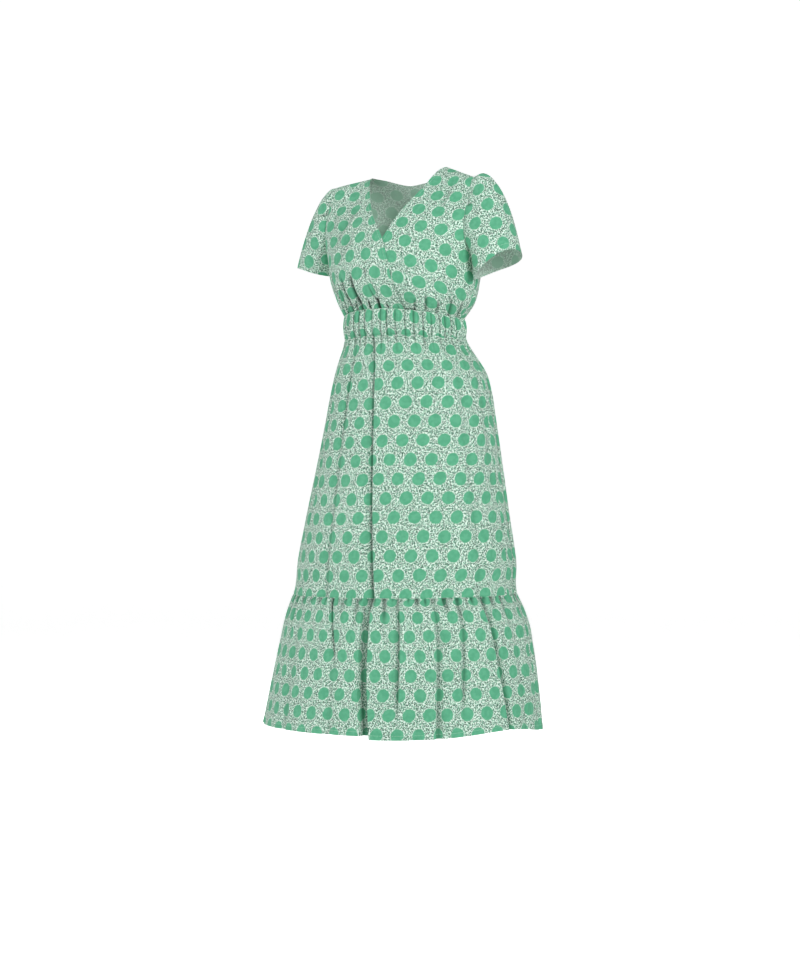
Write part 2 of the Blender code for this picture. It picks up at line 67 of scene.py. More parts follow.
eye = show("eye", bpy.data.cameras.new("eye"))
bpy.context.scene.camera = eye
eye.location = (EYE_AWAY * np.sin(EYE_TURN), -EYE_AWAY * np.cos(EYE_TURN), -EYE_DROP)
eye.rotation_euler = (np.pi / 2, 0.0, EYE_TURN)
eye.data.sensor_width = 36.0
eye.data.lens = EYE_FOCUS * eye.data.sensor_width / PICTURE[1]
eye.data.shift_x = (PICTURE[0] / 2 - MIDDLE[0]) / PICTURE[1]
eye.data.shift_y = (MIDDLE[1] - PICTURE[1] / 2) / PICTURE[1]


# -------------------- floor and light
# A pale studio floor that sweeps up into walls all round, far below the hem, and large
# soft lamps: one in front and to the side as the main light, the others to fill.

FLOOR_DROP = 1.51
FLOOR_REACH = 8.0
WALL_BEND = 2.0
WALL_HEIGHT = 8.0
WALL_STEPS = 8
FLOOR_SIDES = 96
FLOOR_COLOUR = (0.93, 0.93, 0.93, 1.0)
FLOOR_GLOW = 0.74
SKY_GLOW = 0.24


def put(tree, kind, values=(), **settings):
    """Adds a node, sets its properties, and links or fills its inputs by name or number."""
    node = tree.nodes.new(kind)
    for name, value in settings.items():
        setattr(node, name, value)
    for name, value in dict(values).items():
        if isinstance(value, bpy.types.NodeSocket):
            tree.links.new(value, node.inputs[name])
        else:
            node.inputs[name].default_value = value
    return node


def paint(name, values):
    """A new material, its nodes and its shader; values fill the shader's own inputs."""
    material = bpy.data.materials.new(name)
    material.use_nodes = True
    shader = material.node_tree.nodes["Principled BSDF"]
    for socket, value in values.items():
        shader.inputs[socket].default_value = value
    return material, material.node_tree, shader


bm = bmesh.new()
profile = [bm.verts.new((0.0, 0.0, 0.0)), bm.verts.new((FLOOR_REACH, 0.0, 0.0))]
for step in range(1, WALL_STEPS + 1):
    bend = np.pi / 2 * step / WALL_STEPS
    place = (FLOOR_REACH + WALL_BEND * np.sin(bend), 0.0, WALL_BEND * (1 - np.cos(bend)))
    profile.append(bm.verts.new(place))
profile.append(bm.verts.new((FLOOR_REACH + WALL_BEND, 0.0, WALL_HEIGHT)))
edges = [bm.edges.new(pair) for pair in zip(profile, profile[1:])]
bmesh.ops.spin(bm, geom=profile + edges, cent=(0, 0, 0), axis=(0, 0, 1), angle=2 * np.pi,
               steps=FLOOR_SIDES, use_merge=True)
bmesh.ops.remove_doubles(bm, verts=bm.verts[:], dist=1e-5)
bmesh.ops.recalc_face_normals(bm, faces=bm.faces[:])
bmesh.ops.reverse_faces(bm, faces=bm.faces[:])
bmesh.ops.translate(bm, verts=bm.verts[:], vec=(0, 0, -FLOOR_DROP))
floor_mesh = bpy.data.meshes.new("floor")
bm.to_mesh(floor_mesh)
bm.free()
floor_mesh.shade_smooth()
floor_paint, tree, shader = paint("floor", {
    "Base Color": FLOOR_COLOUR, "Roughness": 1.0, "Specular IOR Level": 0.0,
    "Emission Color": FLOOR_COLOUR})
seen = put(tree, "ShaderNodeLightPath").outputs["Is Camera Ray"]
glow = put(tree, "ShaderNodeMath", {0: seen, 1: FLOOR_GLOW}, operation="MULTIPLY").outputs[0]
tree.links.new(glow, shader.inputs["Emission Strength"])
floor_mesh.materials.append(floor_paint)
show("floor", floor_mesh)

world = bpy.data.worlds.new("studio")
bpy.context.scene.world = world
world.use_nodes = True
sky = world.node_tree.nodes["Background"].inputs
sky["Color"].default_value = (1.0, 1.0, 1.0, 1.0)
sky["Strength"].default_value = SKY_GLOW
bpy.context.scene.view_settings.view_transform = "Standard"

Lamp = namedtuple("Lamp", "name turn away height size power")
LAMPS = [
    Lamp("main", 57.0, 4.4, 1.8, 1.1, 122.0),
    Lamp("front", -22.0, 4.8, 0.8, 2.0, 43.0),
    Lamp("back_right", 205.0, 4.4, 1.5, 1.6, 78.0),
    Lamp("back_left", 292.0, 4.4, 0.7, 2.2, 42.0),
]
for lamp in LAMPS:
    light = bpy.data.lights.new(lamp.name, "AREA")
    light.energy = lamp.power
    light.size = lamp.size
    holder = show(lamp.name, light)
    turn = np.radians(lamp.turn)
    holder.location = (lamp.away * np.sin(turn), -lamp.away * np.cos(turn), lamp.height)
    tip = np.arctan2(lamp.away, lamp.height + EYE_DROP)
    holder.rotation_euler = (tip, 0.0, turn)


# -------------------- spotted cotton
# A crisp plain-weave cotton, printed on one side: green spots with ragged edges in
# staggered rows, each in a pale ring, over short grey-green strokes on a pale ground. The
# wrong side shows the print faintly. Every piece carries its flat cut as the UV map "cut",
# in metres, so the print is as large on all of them and closes up where they are gathered.

CUT = "cut"
SHADED = "shaded"           # painted shade: how far each point's colour is darkened in creases, from 0 to 1
SPOT_PITCH = 0.0424
ROW_PITCH = 0.0382
SPOT_RADIUS = 0.0132
RAGGED = 0.0022
RING = 0.0006
STROKE_LENGTH = 0.0056
STROKE_WIDTH = 0.0030
STROKE_TURNS = (14.0, 73.0, 131.0)
STROKE_SHARE = 0.280
SPOT_DRIFT = 0.002          # spots stray from their places within this width
SIZE_DRIFT = 0.001          # and a spot's radius varies by this much either way
THREAD_PITCH = 0.0005


def linear(red, green, blue):
    """Turns a colour as it is seen, 0 to 255, into the shader's numbers."""
    seen = np.array([red, green, blue]) / 255.0
    return (*np.where(seen <= 0.04045, seen / 12.92, ((seen + 0.055) / 1.055) ** 2.4), 1.0)


GROUND = linear(229, 250, 237)
SPOT = linear(103, 188, 148)
SPOT_DEEP = linear(92, 178, 138)
STROKE_DARK = linear(48, 98, 75)
STROKE_PALE = linear(139, 199, 169)


def sum_up(tree, operation, a, b=0.0, c=0.0):
    values = {0: a, 1: b, 2: c}
    return put(tree, "ShaderNodeMath", values, operation=operation).outputs[0]


def move(tree, operation, a, b, c=(0, 0, 0)):
    values = {0: a, 1: b, 2: c}
    return put(tree, "ShaderNodeVectorMath", values, operation=operation).outputs[0]


def smooth_between(tree, value, low, high):
    node = put(tree, "ShaderNodeMapRange", {"Value": value, "From Min": low, "From Max": high},
               interpolation_type="SMOOTHSTEP")
    return node.outputs["Result"]


def mixed(tree, share, a, b):
    return put(tree, "ShaderNodeMix", {"Factor": share, 6: a, 7: b}, data_type="RGBA").outputs[2]


def nearest_spot(tree, cut, offset):
    """Distance from the middle of the nearest spot on one of the print's two lattices."""
    cell = move(tree, "MULTIPLY_ADD", cut, (1 / SPOT_PITCH, 0.5 / ROW_PITCH, 0), (offset, offset, 0))
    inside = move(tree, "SUBTRACT", move(tree, "FRACTION", cell, (0, 0, 0)), (0.5, 0.5, 0.0))
    away = move(tree, "MULTIPLY", inside, (SPOT_PITCH, 2 * ROW_PITCH, 0.0))
    return put(tree, "ShaderNodeVectorMath", {0: away}, operation="LENGTH").outputs["Value"]


def noise(tree, cut, scale, detail, output="Fac"):
    return put(tree, "ShaderNodeTexNoise", {"Vector": cut, "Scale": scale, "Detail": detail},
               noise_dimensions="2D").outputs[output]


def stroke_mask(tree, cut, turn):
    """Short strokes that all lie one way, from a stretched cell pattern."""
    turned = put(tree, "ShaderNodeVectorRotate", {"Vector": cut, "Angle": np.radians(turn)},
                 rotation_type="Z_AXIS").outputs[0]
    scaled = move(tree, "MULTIPLY_ADD", turned, (1 / STROKE_LENGTH, 1 / STROKE_WIDTH, 0),
                  (turn, turn * 0.3, 0))
    cells = put(tree, "ShaderNodeTexVoronoi", {"Vector": scaled, "Scale": 1.0, "Randomness": 1.0},
                voronoi_dimensions="2D")
    mask = smooth_between(tree, cells.outputs["Distance"], STROKE_SHARE + 0.03, STROKE_SHARE - 0.03)
    return mask, cells.outputs["Color"]


def print_group():
    """The print and the weave as a node group, read from the flat cut."""
    tree = bpy.data.node_groups.new("spot_print", "ShaderNodeTree")
    tree.interface.new_socket("Cut", in_out="INPUT", socket_type="NodeSocketVector")
    for name, kind in (("Color", "NodeSocketColor"), ("Weave", "NodeSocketFloat")):
        tree.interface.new_socket(name, in_out="OUTPUT", socket_type=kind)
    cut = tree.nodes.new("NodeGroupInput").outputs["Cut"]

    drift = move(tree, "SUBTRACT", noise(tree, cut, 24.0, 0.0, "Color"), (0.5, 0.5, 0.5))
    drift = move(tree, "MULTIPLY", drift, (SPOT_DRIFT, SPOT_DRIFT, 0))
    ragged = sum_up(tree, "MULTIPLY_ADD", noise(tree, cut, 420.0, 1.0), RAGGED * 2, -RAGGED)
    size = noise(tree, cut, 30.0, 0.0)
    size = sum_up(tree, "MULTIPLY_ADD", size, SIZE_DRIFT * 2, -SIZE_DRIFT)
    moved = move(tree, "ADD", cut, drift)
    near = sum_up(tree, "MINIMUM", nearest_spot(tree, moved, 0.0), nearest_spot(tree, moved, 0.5))
    near = sum_up(tree, "ADD", sum_up(tree, "ADD", near, ragged), size)
    in_spot = smooth_between(tree, near, SPOT_RADIUS + 0.0003, SPOT_RADIUS - 0.0003)
    past_ring = smooth_between(tree, near, SPOT_RADIUS + RING - 0.0007, SPOT_RADIUS + RING + 0.0012)

    colour = GROUND
    for turn in STROKE_TURNS:
        mask, tone = stroke_mask(tree, cut, turn)
        tint = mixed(tree, smooth_between(tree, tone, 0.2, 0.9), STROKE_DARK, STROKE_PALE)
        colour = mixed(tree, sum_up(tree, "MULTIPLY", mask, past_ring), colour, tint)
    blotch = smooth_between(tree, noise(tree, cut, 90.0, 2.0), 0.35, 0.65)
    spot = mixed(tree, blotch, SPOT, SPOT_DEEP)
    colour = mixed(tree, in_spot, colour, spot)

    threads = [put(tree, "ShaderNodeTexWave", {
        "Vector": cut, "Scale": 0.1 / THREAD_PITCH * np.pi, "Distortion": 0.6, "Detail": 1.0},
        bands_direction=way).outputs["Fac"] for way in "XY"]
    weave = sum_up(tree, "MAXIMUM", *threads)
    out = tree.nodes.new("NodeGroupOutput")
    tree.links.new(colour, out.inputs["Color"])
    tree.links.new(weave, out.inputs["Weave"])
    return tree


SPOT_PRINT = print_group()


def cotton(name, shows_through):
    """The cotton's material. shows_through is how strong the print is on this side."""
    material, tree, shader = paint(name, {
        "Roughness": 0.82, "Specular IOR Level": 0.25, "Sheen Weight": 0.12, "Sheen Roughness": 0.5})
    cut = put(tree, "ShaderNodeUVMap", uv_map=CUT).outputs["UV"]
    printed = put(tree, "ShaderNodeGroup", node_tree=SPOT_PRINT)
    tree.links.new(cut, printed.inputs["Cut"])
    colour = mixed(tree, shows_through, GROUND, printed.outputs["Color"])
    # Painted shade: the colour is darkened by the shade stored on each point for its creases, folds
    # and gathers.
    shaded = put(tree, "ShaderNodeAttribute", attribute_name=SHADED).outputs["Fac"]
    lit = sum_up(tree, "SUBTRACT", 1.0, shaded)
    colour = put(tree, "ShaderNodeVectorMath", {0: colour, "Scale": lit},
                 operation="SCALE").outputs[0]
    tree.links.new(colour, shader.inputs["Base Color"])
    bump = put(tree, "ShaderNodeBump", {
        "Strength": 0.25, "Distance": 0.0001, "Height": printed.outputs["Weave"]})
    tree.links.new(bump.outputs["Normal"], shader.inputs["Normal"])
    return material


RIGHT_SIDE = cotton("spotted_cotton", 1.0)
WRONG_SIDE = cotton("spotted_cotton_wrong_side", 0.5)


# -------------------- bodice fronts
# Two cotton fronts that cross at the bust, the wearer's right one on top. Each is gathered
# into the waistband, and its slanting neck edge is turned under and pressed.

SHELL = 0.0005              # the cloth's thickness
SHARP_ANGLE = 70.0

NECK_HALF = 0.0866          # from the middle to where a shoulder seam meets the neckline
NECK_SET_BACK = 0.020       # the neck sits this far behind the points of the shoulders
SHOULDER_POINT = 0.162      # from the middle to the top of an armhole
SHOULDER_SLOPE = {"right": 0.23, "left": 0.33}
SLOPE_BLEND = 0.12          # over this width, behind the neck, one slope becomes the other
SHOULDER_TILT = 0.0075      # the wearer's left side of the neck is this much higher
CROWN = 0.010
BACK_NECK_LEVEL = 6.35      # the level that the back neckline dips to in the middle

# The bodice's form, from the waist seam up: an oval ring at each level, how far the ring
# follows the shoulders' slope, its shift, and the x of each front's inner edge.
Level = namedtuple("Level", "drop half_width front back ridge shift right_edge left_edge")
TORSO = [
    Level(0.298, 0.131, 0.099, 0.093, 0.00, 0.000, 0.053, -0.040),    # waist seam
    Level(0.266, 0.151, 0.110, 0.098, 0.00, 0.005, 0.050, -0.032),    # ribs
    Level(0.222, 0.164, 0.120, 0.103, 0.00, 0.003, 0.041, -0.020),    # bust
    Level(0.178, 0.169, 0.119, 0.107, 0.00, 0.001, 0.029, -0.006),    # armpit
    Level(0.142, 0.177, 0.110, 0.107, 0.12, 0.000, 0.011, 0.013),     # point of the neckline
    Level(0.098, 0.186, 0.088, 0.098, 0.38, 0.000, -0.027, 0.035),    # upper chest
    Level(0.052, 0.190, 0.055, 0.070, 0.70, 0.000, -0.059, 0.061),    # collarbone
    Level(0.014, 0.190, 0.025, 0.030, 0.93, 0.000, -0.080, 0.078),    # yoke
    Level(0.000, 0.190, 0.000, 0.000, 1.00, 0.000, -0.0866, 0.0866),  # shoulder seam
]
ARMPIT = 3
RIDGE = len(TORSO) - 1
WAIST_REACH = 1.6
UPRIGHT_TO = 1.0
ROOF_FROM = RIDGE - 1.2
BUST = {"out": 0.075, "spread": 0.045, "level": 1.9, "rise": 1.0, "depth": 0.007}
TUCK = {"clearance": 0.0014, "starts": 0.034, "over": 0.024, "top_level": 5.4, "fades": 1.2,
        "gathered": 0.0052}

ARMHOLE = {"front": 53.0, "back": 56.0, "foot": 90.0}
ARMHOLE_CURVE = 0.9
ARMHOLE_TURN = 0.45
ARMHOLE_CLIMB = 0.92
SHOULDER_ANGLE = np.degrees(np.arcsin(SHOULDER_POINT / TORSO[RIDGE].half_width))
SIDE_SHARE = 4 / 13         # the share of a panel's rows that is side seam

# Seams that run round: drop at the sides and back, rise at the centre front, how much lower
# the wearer's left side is, and how far the hem swings up in one place.
Seam = namedtuple("Seam", "drop front_rise left_drop swing")
WAIST_SEAM = Seam(0.3005, 0.0185, 0.0000, 0.000)
SWING_ANGLE = 74.0
SWING_SPREAD = 24.0
SEAM_DIP = 0.0013           # the cloth rolls in this far at a seam
SEAM_ROLL = 0.0022          # over about this width
SIDE_DIP = 0.5              # and at a side seam or an armhole this share as far

# Gathers at a seam: how many, how deep, how soon, how far they reach, and what they vary by
Gather = namedtuple("Gather", "count depth starts length seed")
RIGHT_FRONT_GATHERS = Gather(24, 0.0024, 0.002, 0.014, 5)
LEFT_FRONT_GATHERS = Gather(22, 0.0020, 0.002, 0.012, 12)
PINCH = 0.17
GATHER_STRAY = 0.3          # how far a gather strays from its even place, of the pitch
LEFT_GATHERED_FROM = 0.42
LEFT_GATHERED_OVER = 0.10


# Creases placed one by one on a front's flat cut, in millimetres from the centre front and
# up from the waist seam. Each is deepest at its low end; its sharp flank is to the
# wearer's left and its soft one to the right. Shade is how dark its bottom is painted.
Crease = namedtuple("Crease", "low_across low_up high_across high_up depth sharp soft shade")
MM = 0.001
RIGHT_FRONT_CREASES = [
    Crease(3, 0, -12, 58, 3.8, 2.6, 5.0, 0.72),
    Crease(-9, 34, -22, 92, 3.6, 2.8, 6.5, 0.56),
    Crease(-41, 0, -51, 34, 5.2, 1.8, 6.5, 0.36),
    Crease(-51, 26, -60, 84, 4.6, 1.8, 7.5, 0.36),
    Crease(-72, 0, -82, 42, 5.2, 1.8, 6.5, 0.38),
    Crease(-82, 34, -88, 78, 4.2, 1.8, 7.0, 0.34),
    Crease(-96, 0, -108, 70, 5.2, 1.8, 6.0, 0.38),
    Crease(-112, 0, -127, 64, 6.0, 2.2, 7.0, 0.40),
    Crease(-127, 54, -156, 98, 5.0, 2.6, 8.0, 0.30),
    Crease(-140, 0, -158, 76, 5.0, 2.2, 7.0, 0.36),
    Crease(-166, 0, -184, 62, 5.0, 2.2, 8.0, 0.36),
    Crease(-20, 0, -27, 24, 4.0, 1.8, 4.0, 0.40),
    Crease(-57, 0, -63, 22, 4.0, 1.8, 4.0, 0.36),
    Crease(-86, 0, -92, 20, 3.6, 1.8, 3.6, 0.30),
    Crease(21, 0, 17, 15, 2.6, 1.8, 4.0, 0.22),
    Crease(-110, 163, -80, 239, 4.0, 9.0, 12.0, 0.14),
    Crease(-136, 190, -128, 270, 3.0, 8.0, 11.0, 0.10),
    Crease(-92, 120, -60, 176, 2.6, 9.0, 12.0, 0.08),
]
LEFT_FRONT_CREASES = [
    Crease(74, 0, 78, 32, 2.6, 4.0, 2.0, 0.20),
    Crease(96, 0, 102, 46, 3.0, 5.0, 2.2, 0.22),
    Crease(119, 0, 127, 38, 2.8, 5.0, 2.0, 0.20),
    Crease(146, 0, 157, 50, 3.2, 6.0, 2.8, 0.22),
    Crease(170, 0, 184, 48, 3.4, 6.0, 2.6, 0.20),
    Crease(122, 236, 126, 300, 2.6, 3.0, 7.0, 0.12),
    Crease(160, 228, 164, 276, 2.6, 2.6, 7.0, 0.10),
    Crease(140, 108, 160, 160, 1.8, 12.0, 12.0, 0.05),
    Crease(156, 62, 194, 118, 2.2, 12.0, 10.0, 0.05),
]
CREASE_SHADE_FROM = 0.75        # its painted shade is full from this share of its depth down
CREASE_ENDS = (0.3, 0.4)    # the shares of its length over which its two ends fade


def creases(table, cut):
    """Depth of creases placed on a flat cut, and the shade painted into them, from 0 to 1."""
    depth, lit = 0.0, 1.0
    for crease in table:
        low = np.array([crease.low_across, crease.low_up]) * MM
        run = np.array([crease.high_across, crease.high_up]) * MM - low
        length = np.hypot(*run)
        away = cut - low
        share = (away @ run) / length ** 2
        across = (away[..., 0] * run[1] - away[..., 1] * run[0]) / length / MM
        across = across / np.where(across > 0, crease.sharp, crease.soft)
        along = ease((share + CREASE_ENDS[0]) / CREASE_ENDS[0]) * ease((1 - share) / CREASE_ENDS[1])
        hollow = along * np.exp(-(across ** 2))
        depth = depth + crease.depth * MM * hollow
        # Painted shade: each crease darkens the colour towards its bottom.
        lit = lit * (1 - crease.shade * ease(hollow / CREASE_SHADE_FROM))
    return depth, 1 - lit


def read(table, column, at, key=None):
    """Reads one column of a table, along a smooth curve through its rows."""
    values = np.array([getattr(row, column) for row in table])
    keys = np.array([getattr(row, key) for row in table]) if key else np.arange(len(table)) * 1.0
    slopes = np.gradient(values, keys)
    i = np.clip(np.searchsorted(keys, at) - 1, 0, len(keys) - 2)
    step = keys[i + 1] - keys[i]
    s = np.clip((at - keys[i]) / step, 0.0, 1.0)
    start = (1 + 2 * s) * (1 - s) ** 2 * values[i] + s * (1 - s) ** 2 * step * slopes[i]
    end = s * s * (3 - 2 * s) * values[i + 1] - s * s * (1 - s) * step * slopes[i + 1]
    return start + end


def ease(share):
    """Rises smoothly from 0 to 1 as share does."""
    s = np.clip(share, 0.0, 1.0)
    return s * s * (3 - 2 * s)


def blend(a, b, share):
    return a + (b - a) * share


def unit(rows):
    return rows / np.linalg.norm(rows, axis=-1, keepdims=True)


def uneven(number):
    """A fixed value from 0 to 1 for each number, with no pattern to the eye."""
    return np.modf(np.abs(np.sin(number * 12.9898 + 4.1414)) * 43758.5453)[0]


def lengths(points, axis):
    """Distance along the rows or columns of a grid of points, from the first of each."""
    steps = np.linalg.norm(np.diff(points, axis=axis), axis=-1)
    start = np.zeros_like(np.take(steps, [0], axis=axis))
    return np.concatenate([start, np.cumsum(steps, axis=axis)], axis=axis)


def shares(count, crowd=0.75):
    """Shares from 0 to 1, closer together at both ends."""
    even = np.linspace(0, 1, count + 1)
    return blend(even, (1 - np.cos(np.pi * even)) / 2, crowd)


def seam_dip(away):
    """How far the cloth rolls in at a seam."""
    return SEAM_DIP * np.exp(-((away / SEAM_ROLL) ** 2))


def gathers(kind, u, away, narrow=PINCH):
    """Depth of pinched gathers across a piece; away is the distance from the seam."""
    wave = np.round(u * kind.count)
    inside = (wave > 0.5) & (wave < kind.count - 0.5)
    astray = GATHER_STRAY * (uneven(wave + kind.seed + 20) - 0.5)
    pinch = np.exp(-(((u * kind.count - wave - astray) / narrow) ** 2))
    depth = kind.depth * (0.55 + 0.45 * uneven(wave + kind.seed))
    fade = 1.0
    if kind.starts:
        fade = ease(away / kind.starts)
    if kind.length:
        length = kind.length * (0.45 + 1.1 * uneven(wave + kind.seed + 50) ** 2)
        fade = fade * np.exp(-((away / length) ** 2))
    return inside * depth * pinch * fade


def shoulder_line(x):
    """Height and depth of the line of the shoulder seams, at x."""
    slope = blend(SHOULDER_SLOPE["right"], SHOULDER_SLOPE["left"], ease(x / SLOPE_BLEND + 0.5))
    outward = np.sqrt(x ** 2 + CROWN ** 2) - NECK_HALF
    height = SHOULDER_TILT * np.clip(x / NECK_HALF, -1, 1) - slope * outward
    set_back = NECK_SET_BACK * (1 - ease(outward / (SHOULDER_POINT - NECK_HALF)))
    return height, set_back


def seam_drop(seam, turn):
    """How far below the origin a level seam runs, at each turn round the dress."""
    away = (np.degrees(turn) - SWING_ANGLE + 180.0) % 360.0 - 180.0
    swing = seam.swing * np.exp(-((away / SWING_SPREAD) ** 2))
    front = np.clip(np.cos(turn), 0, 1) ** 1.5
    return seam.drop - seam.front_rise * front + seam.left_drop * np.sin(turn) - swing


def bodice_form(turn, level, behind):
    """Points of the bodice's form. turn is the angle from the centre front to +X."""
    width = read(TORSO, "half_width", level)
    depth = read(TORSO, "back" if behind else "front", level)
    ridge = read(TORSO, "ridge", level)
    x = read(TORSO, "shift", level) + width * np.sin(turn)
    height, set_back = shoulder_line(x)
    cup = np.exp(-(((np.abs(x) - BUST["out"]) / BUST["spread"]) ** 2))
    cup = cup * np.exp(-(((level - BUST["level"]) / BUST["rise"]) ** 2)) * (not behind)
    y = -depth * np.cos(turn) + ridge * set_back - BUST["depth"] * cup
    fade = np.clip(1 - level / WAIST_REACH, 0, 1)
    rise = (TORSO[0].drop - seam_drop(WAIST_SEAM, turn)) * fade
    z = -read(TORSO, "drop", level) + rise + ridge * height
    return np.stack([x, y, z], axis=-1)


def bodice_way_out(turn, level, behind):
    """The way out of the bodice: level with the floor below the armpits, up at the ridge."""
    step = 1e-3
    low = np.minimum(level, RIDGE - step)
    round_it = bodice_form(turn + step, low, behind) - bodice_form(turn - step, low, behind)
    up_it = bodice_form(turn, low + step, behind) - bodice_form(turn, low - step, behind)
    way = unit(np.cross(round_it, up_it))
    way[..., 2] *= ease((level - UPRIGHT_TO) / (ARMPIT + 1.5))
    at_ridge = ease((level - ROOF_FROM) / (RIDGE - ROOF_FROM))[..., None]
    return unit(blend(way, np.array([0.0, 0.0, 1.0]), at_ridge))


def armhole_angle(a, face):
    """Half angle of an armhole's seam in degrees; a runs from the armpit to the shoulder."""
    side = blend(ARMHOLE["foot"], ARMHOLE[face], np.sin(a * np.pi / 2) ** ARMHOLE_CURVE)
    turn_out = ease((a - ARMHOLE_TURN) / (1 - ARMHOLE_TURN))
    return side + (SHOULDER_ANGLE - ARMHOLE[face]) * turn_out


def armhole_level(a):
    return ARMPIT + (RIDGE - ARMPIT) * (1 - np.cos(a * np.pi / 2)) ** ARMHOLE_CLIMB


def outer_edge(v, face):
    """Half angle in radians and level of a bodice panel's side seam and armhole."""
    a = np.clip((v - SIDE_SHARE) / (1 - SIDE_SHARE), 0, 1)
    level = np.where(v < SIDE_SHARE, ARMPIT * v / SIDE_SHARE, armhole_level(a))
    return np.radians(armhole_angle(a, face)), level


CUT_COLUMNS = 120
CUT_ROWS = 160


def flat_bodice(turn, level, behind):
    """The flat cut of a bodice panel: distance round from the middle, and up from the waist."""
    turns = np.linspace(-np.pi / 2, np.pi / 2, CUT_COLUMNS + 1) + (np.pi if behind else 0.0)
    levels = np.linspace(0, RIDGE - 0.001, CUT_ROWS + 1)
    grid = bodice_form(turns[None, :], levels[:, None], behind)
    across = lengths(grid, 1)
    across = across - across[:, [CUT_COLUMNS // 2]]
    up = lengths(grid, 0)
    column = (turn - turns[0]) / (turns[1] - turns[0])
    row = np.clip(level / levels[1], 0, CUT_ROWS)
    i = np.clip(np.floor(row).astype(int), 0, CUT_ROWS - 1)
    j = np.clip(np.floor(column).astype(int), 0, CUT_COLUMNS - 1)
    s, t = row - i, column - j
    flat = []
    for table in (across, up):
        low = blend(table[i, j], table[i, j + 1], t)
        high = blend(table[i + 1, j], table[i + 1, j + 1], t)
        flat.append(blend(low, high, s))
    return np.stack(flat, axis=-1)


def tuck_under(x, level):
    """How far the left front sinks to pass behind the right front's edge."""
    edge = read(TORSO, "right_edge", level)
    gathered = np.clip(1 - level / BUST["level"], 0, 1)
    clearance = TUCK["clearance"] + TUCK["gathered"] * gathered
    near = ease((edge + TUCK["starts"] - x) / TUCK["over"])
    return clearance * near * ease((TUCK["top_level"] - level) / TUCK["fades"])


# A piece laid out: its form, the way out, its flat cut, the depth of its creases, how far
# each point is from its turned edge, and the shade painted into its creases' colour
Laid = namedtuple("Laid", "form way cut depth away cast", defaults=(0.0,))
NECK_TURNING = 0.007        # how wide the turned edge is
TURNING_RISE = 0.0003       # how far its second layer stands it proud
TURNING_STEP = 0.0015       # and over what width it rises


def turned_edge(away, width):
    """How far the turned layer lifts the cloth near its edge."""
    return TURNING_RISE * (1 - ease((away - width) / TURNING_STEP))


def front_panel(side, gather, edge_column, placed):
    """Lays a bodice front: u from its inner edge to the side, v from the waist up."""
    def lay(u, v):
        level_in = RIDGE * v
        edge = read(TORSO, edge_column, level_in) - read(TORSO, "shift", level_in)
        turn_in = np.arcsin(edge / read(TORSO, "half_width", level_in))
        angle, level_out = outer_edge(v, "front")
        turn = blend(turn_in, side * angle, u)
        level = blend(level_in, level_out, u)
        points = bodice_form(turn, level, False)
        way = bodice_way_out(turn, level, False)
        above = lengths(points, 0)
        depth = gathers(gather, u, above)
        if side > 0:
            depth = depth * ease((u - LEFT_GATHERED_FROM) / LEFT_GATHERED_OVER)
            depth = depth + tuck_under(points[..., 0], level)
        cut = flat_bodice(turn, level, False)
        creased, cast = creases(placed, cut)
        depth = depth + creased + seam_dip(above) + seam_dip(above[-1:] - above)
        away = lengths(points, 1)
        depth = depth + SIDE_DIP * seam_dip(away[:, -1:] - away) - turned_edge(away, NECK_TURNING)
        return Laid(points, way, cut, depth, away, cast)
    return lay


# Creases get painted shade: over how far either side the cloth is compared, how deep is full
# shade, and how strong that is.
Shade = namedtuple("Shade", "reach full strength")
SHADES = [Shade(0.0042, 0.0022, 0.34), Shade(0.0080, 0.0028, 0.32), Shade(0.015, 0.0090, 0.16)]


def crease_shade(depth, pitch, strength):
    """How much shade is painted on each point of a grid, from the cloth on both sides of it, from 0
    to 1.
    """
    lit = 1.0
    for shade in SHADES:
        reach = max(round(shade.reach / pitch), 1)
        beside = np.pad(depth, ((0, 0), (reach, reach)), mode="edge")
        mean = np.mean([beside[:, k:k + depth.shape[1]] for k in range(2 * reach + 1)], axis=0)
        lit = lit * (1 - strength * shade.strength * ease((depth - mean) / shade.full))
    return 1 - lit


# Machine stitches, one small bead of thread each
STITCH_PITCH = 0.0030
STITCH_SIZE = np.array([0.00105, 0.00022, 0.00018])     # half its length, width and height
STITCHES_IN = 0.0012        # how far they run inside the end of the turned layer
THREAD_COLOUR = linear(196, 226, 208)

THREAD, tree, shader = paint("thread", {"Roughness": 0.55})
place = put(tree, "ShaderNodeTexCoord").outputs["Object"]
mottle = put(tree, "ShaderNodeTexNoise", {"Vector": place, "Scale": 900.0}).outputs["Fac"]
tree.links.new(mixed(tree, smooth_between(tree, mottle, 0.3, 0.7), THREAD_COLOUR, GROUND),
               shader.inputs["Base Color"])

bm = bmesh.new()
bmesh.ops.create_uvsphere(bm, u_segments=4, v_segments=5, radius=1.0)
bmesh.ops.rotate(bm, verts=bm.verts[:], matrix=Matrix.Rotation(np.pi / 2, 3, "Y"))
BEAD = np.array([vert.co for vert in bm.verts])
BEAD_FACES = [[vert.index for vert in face.verts] for face in bm.faces]
bm.free()


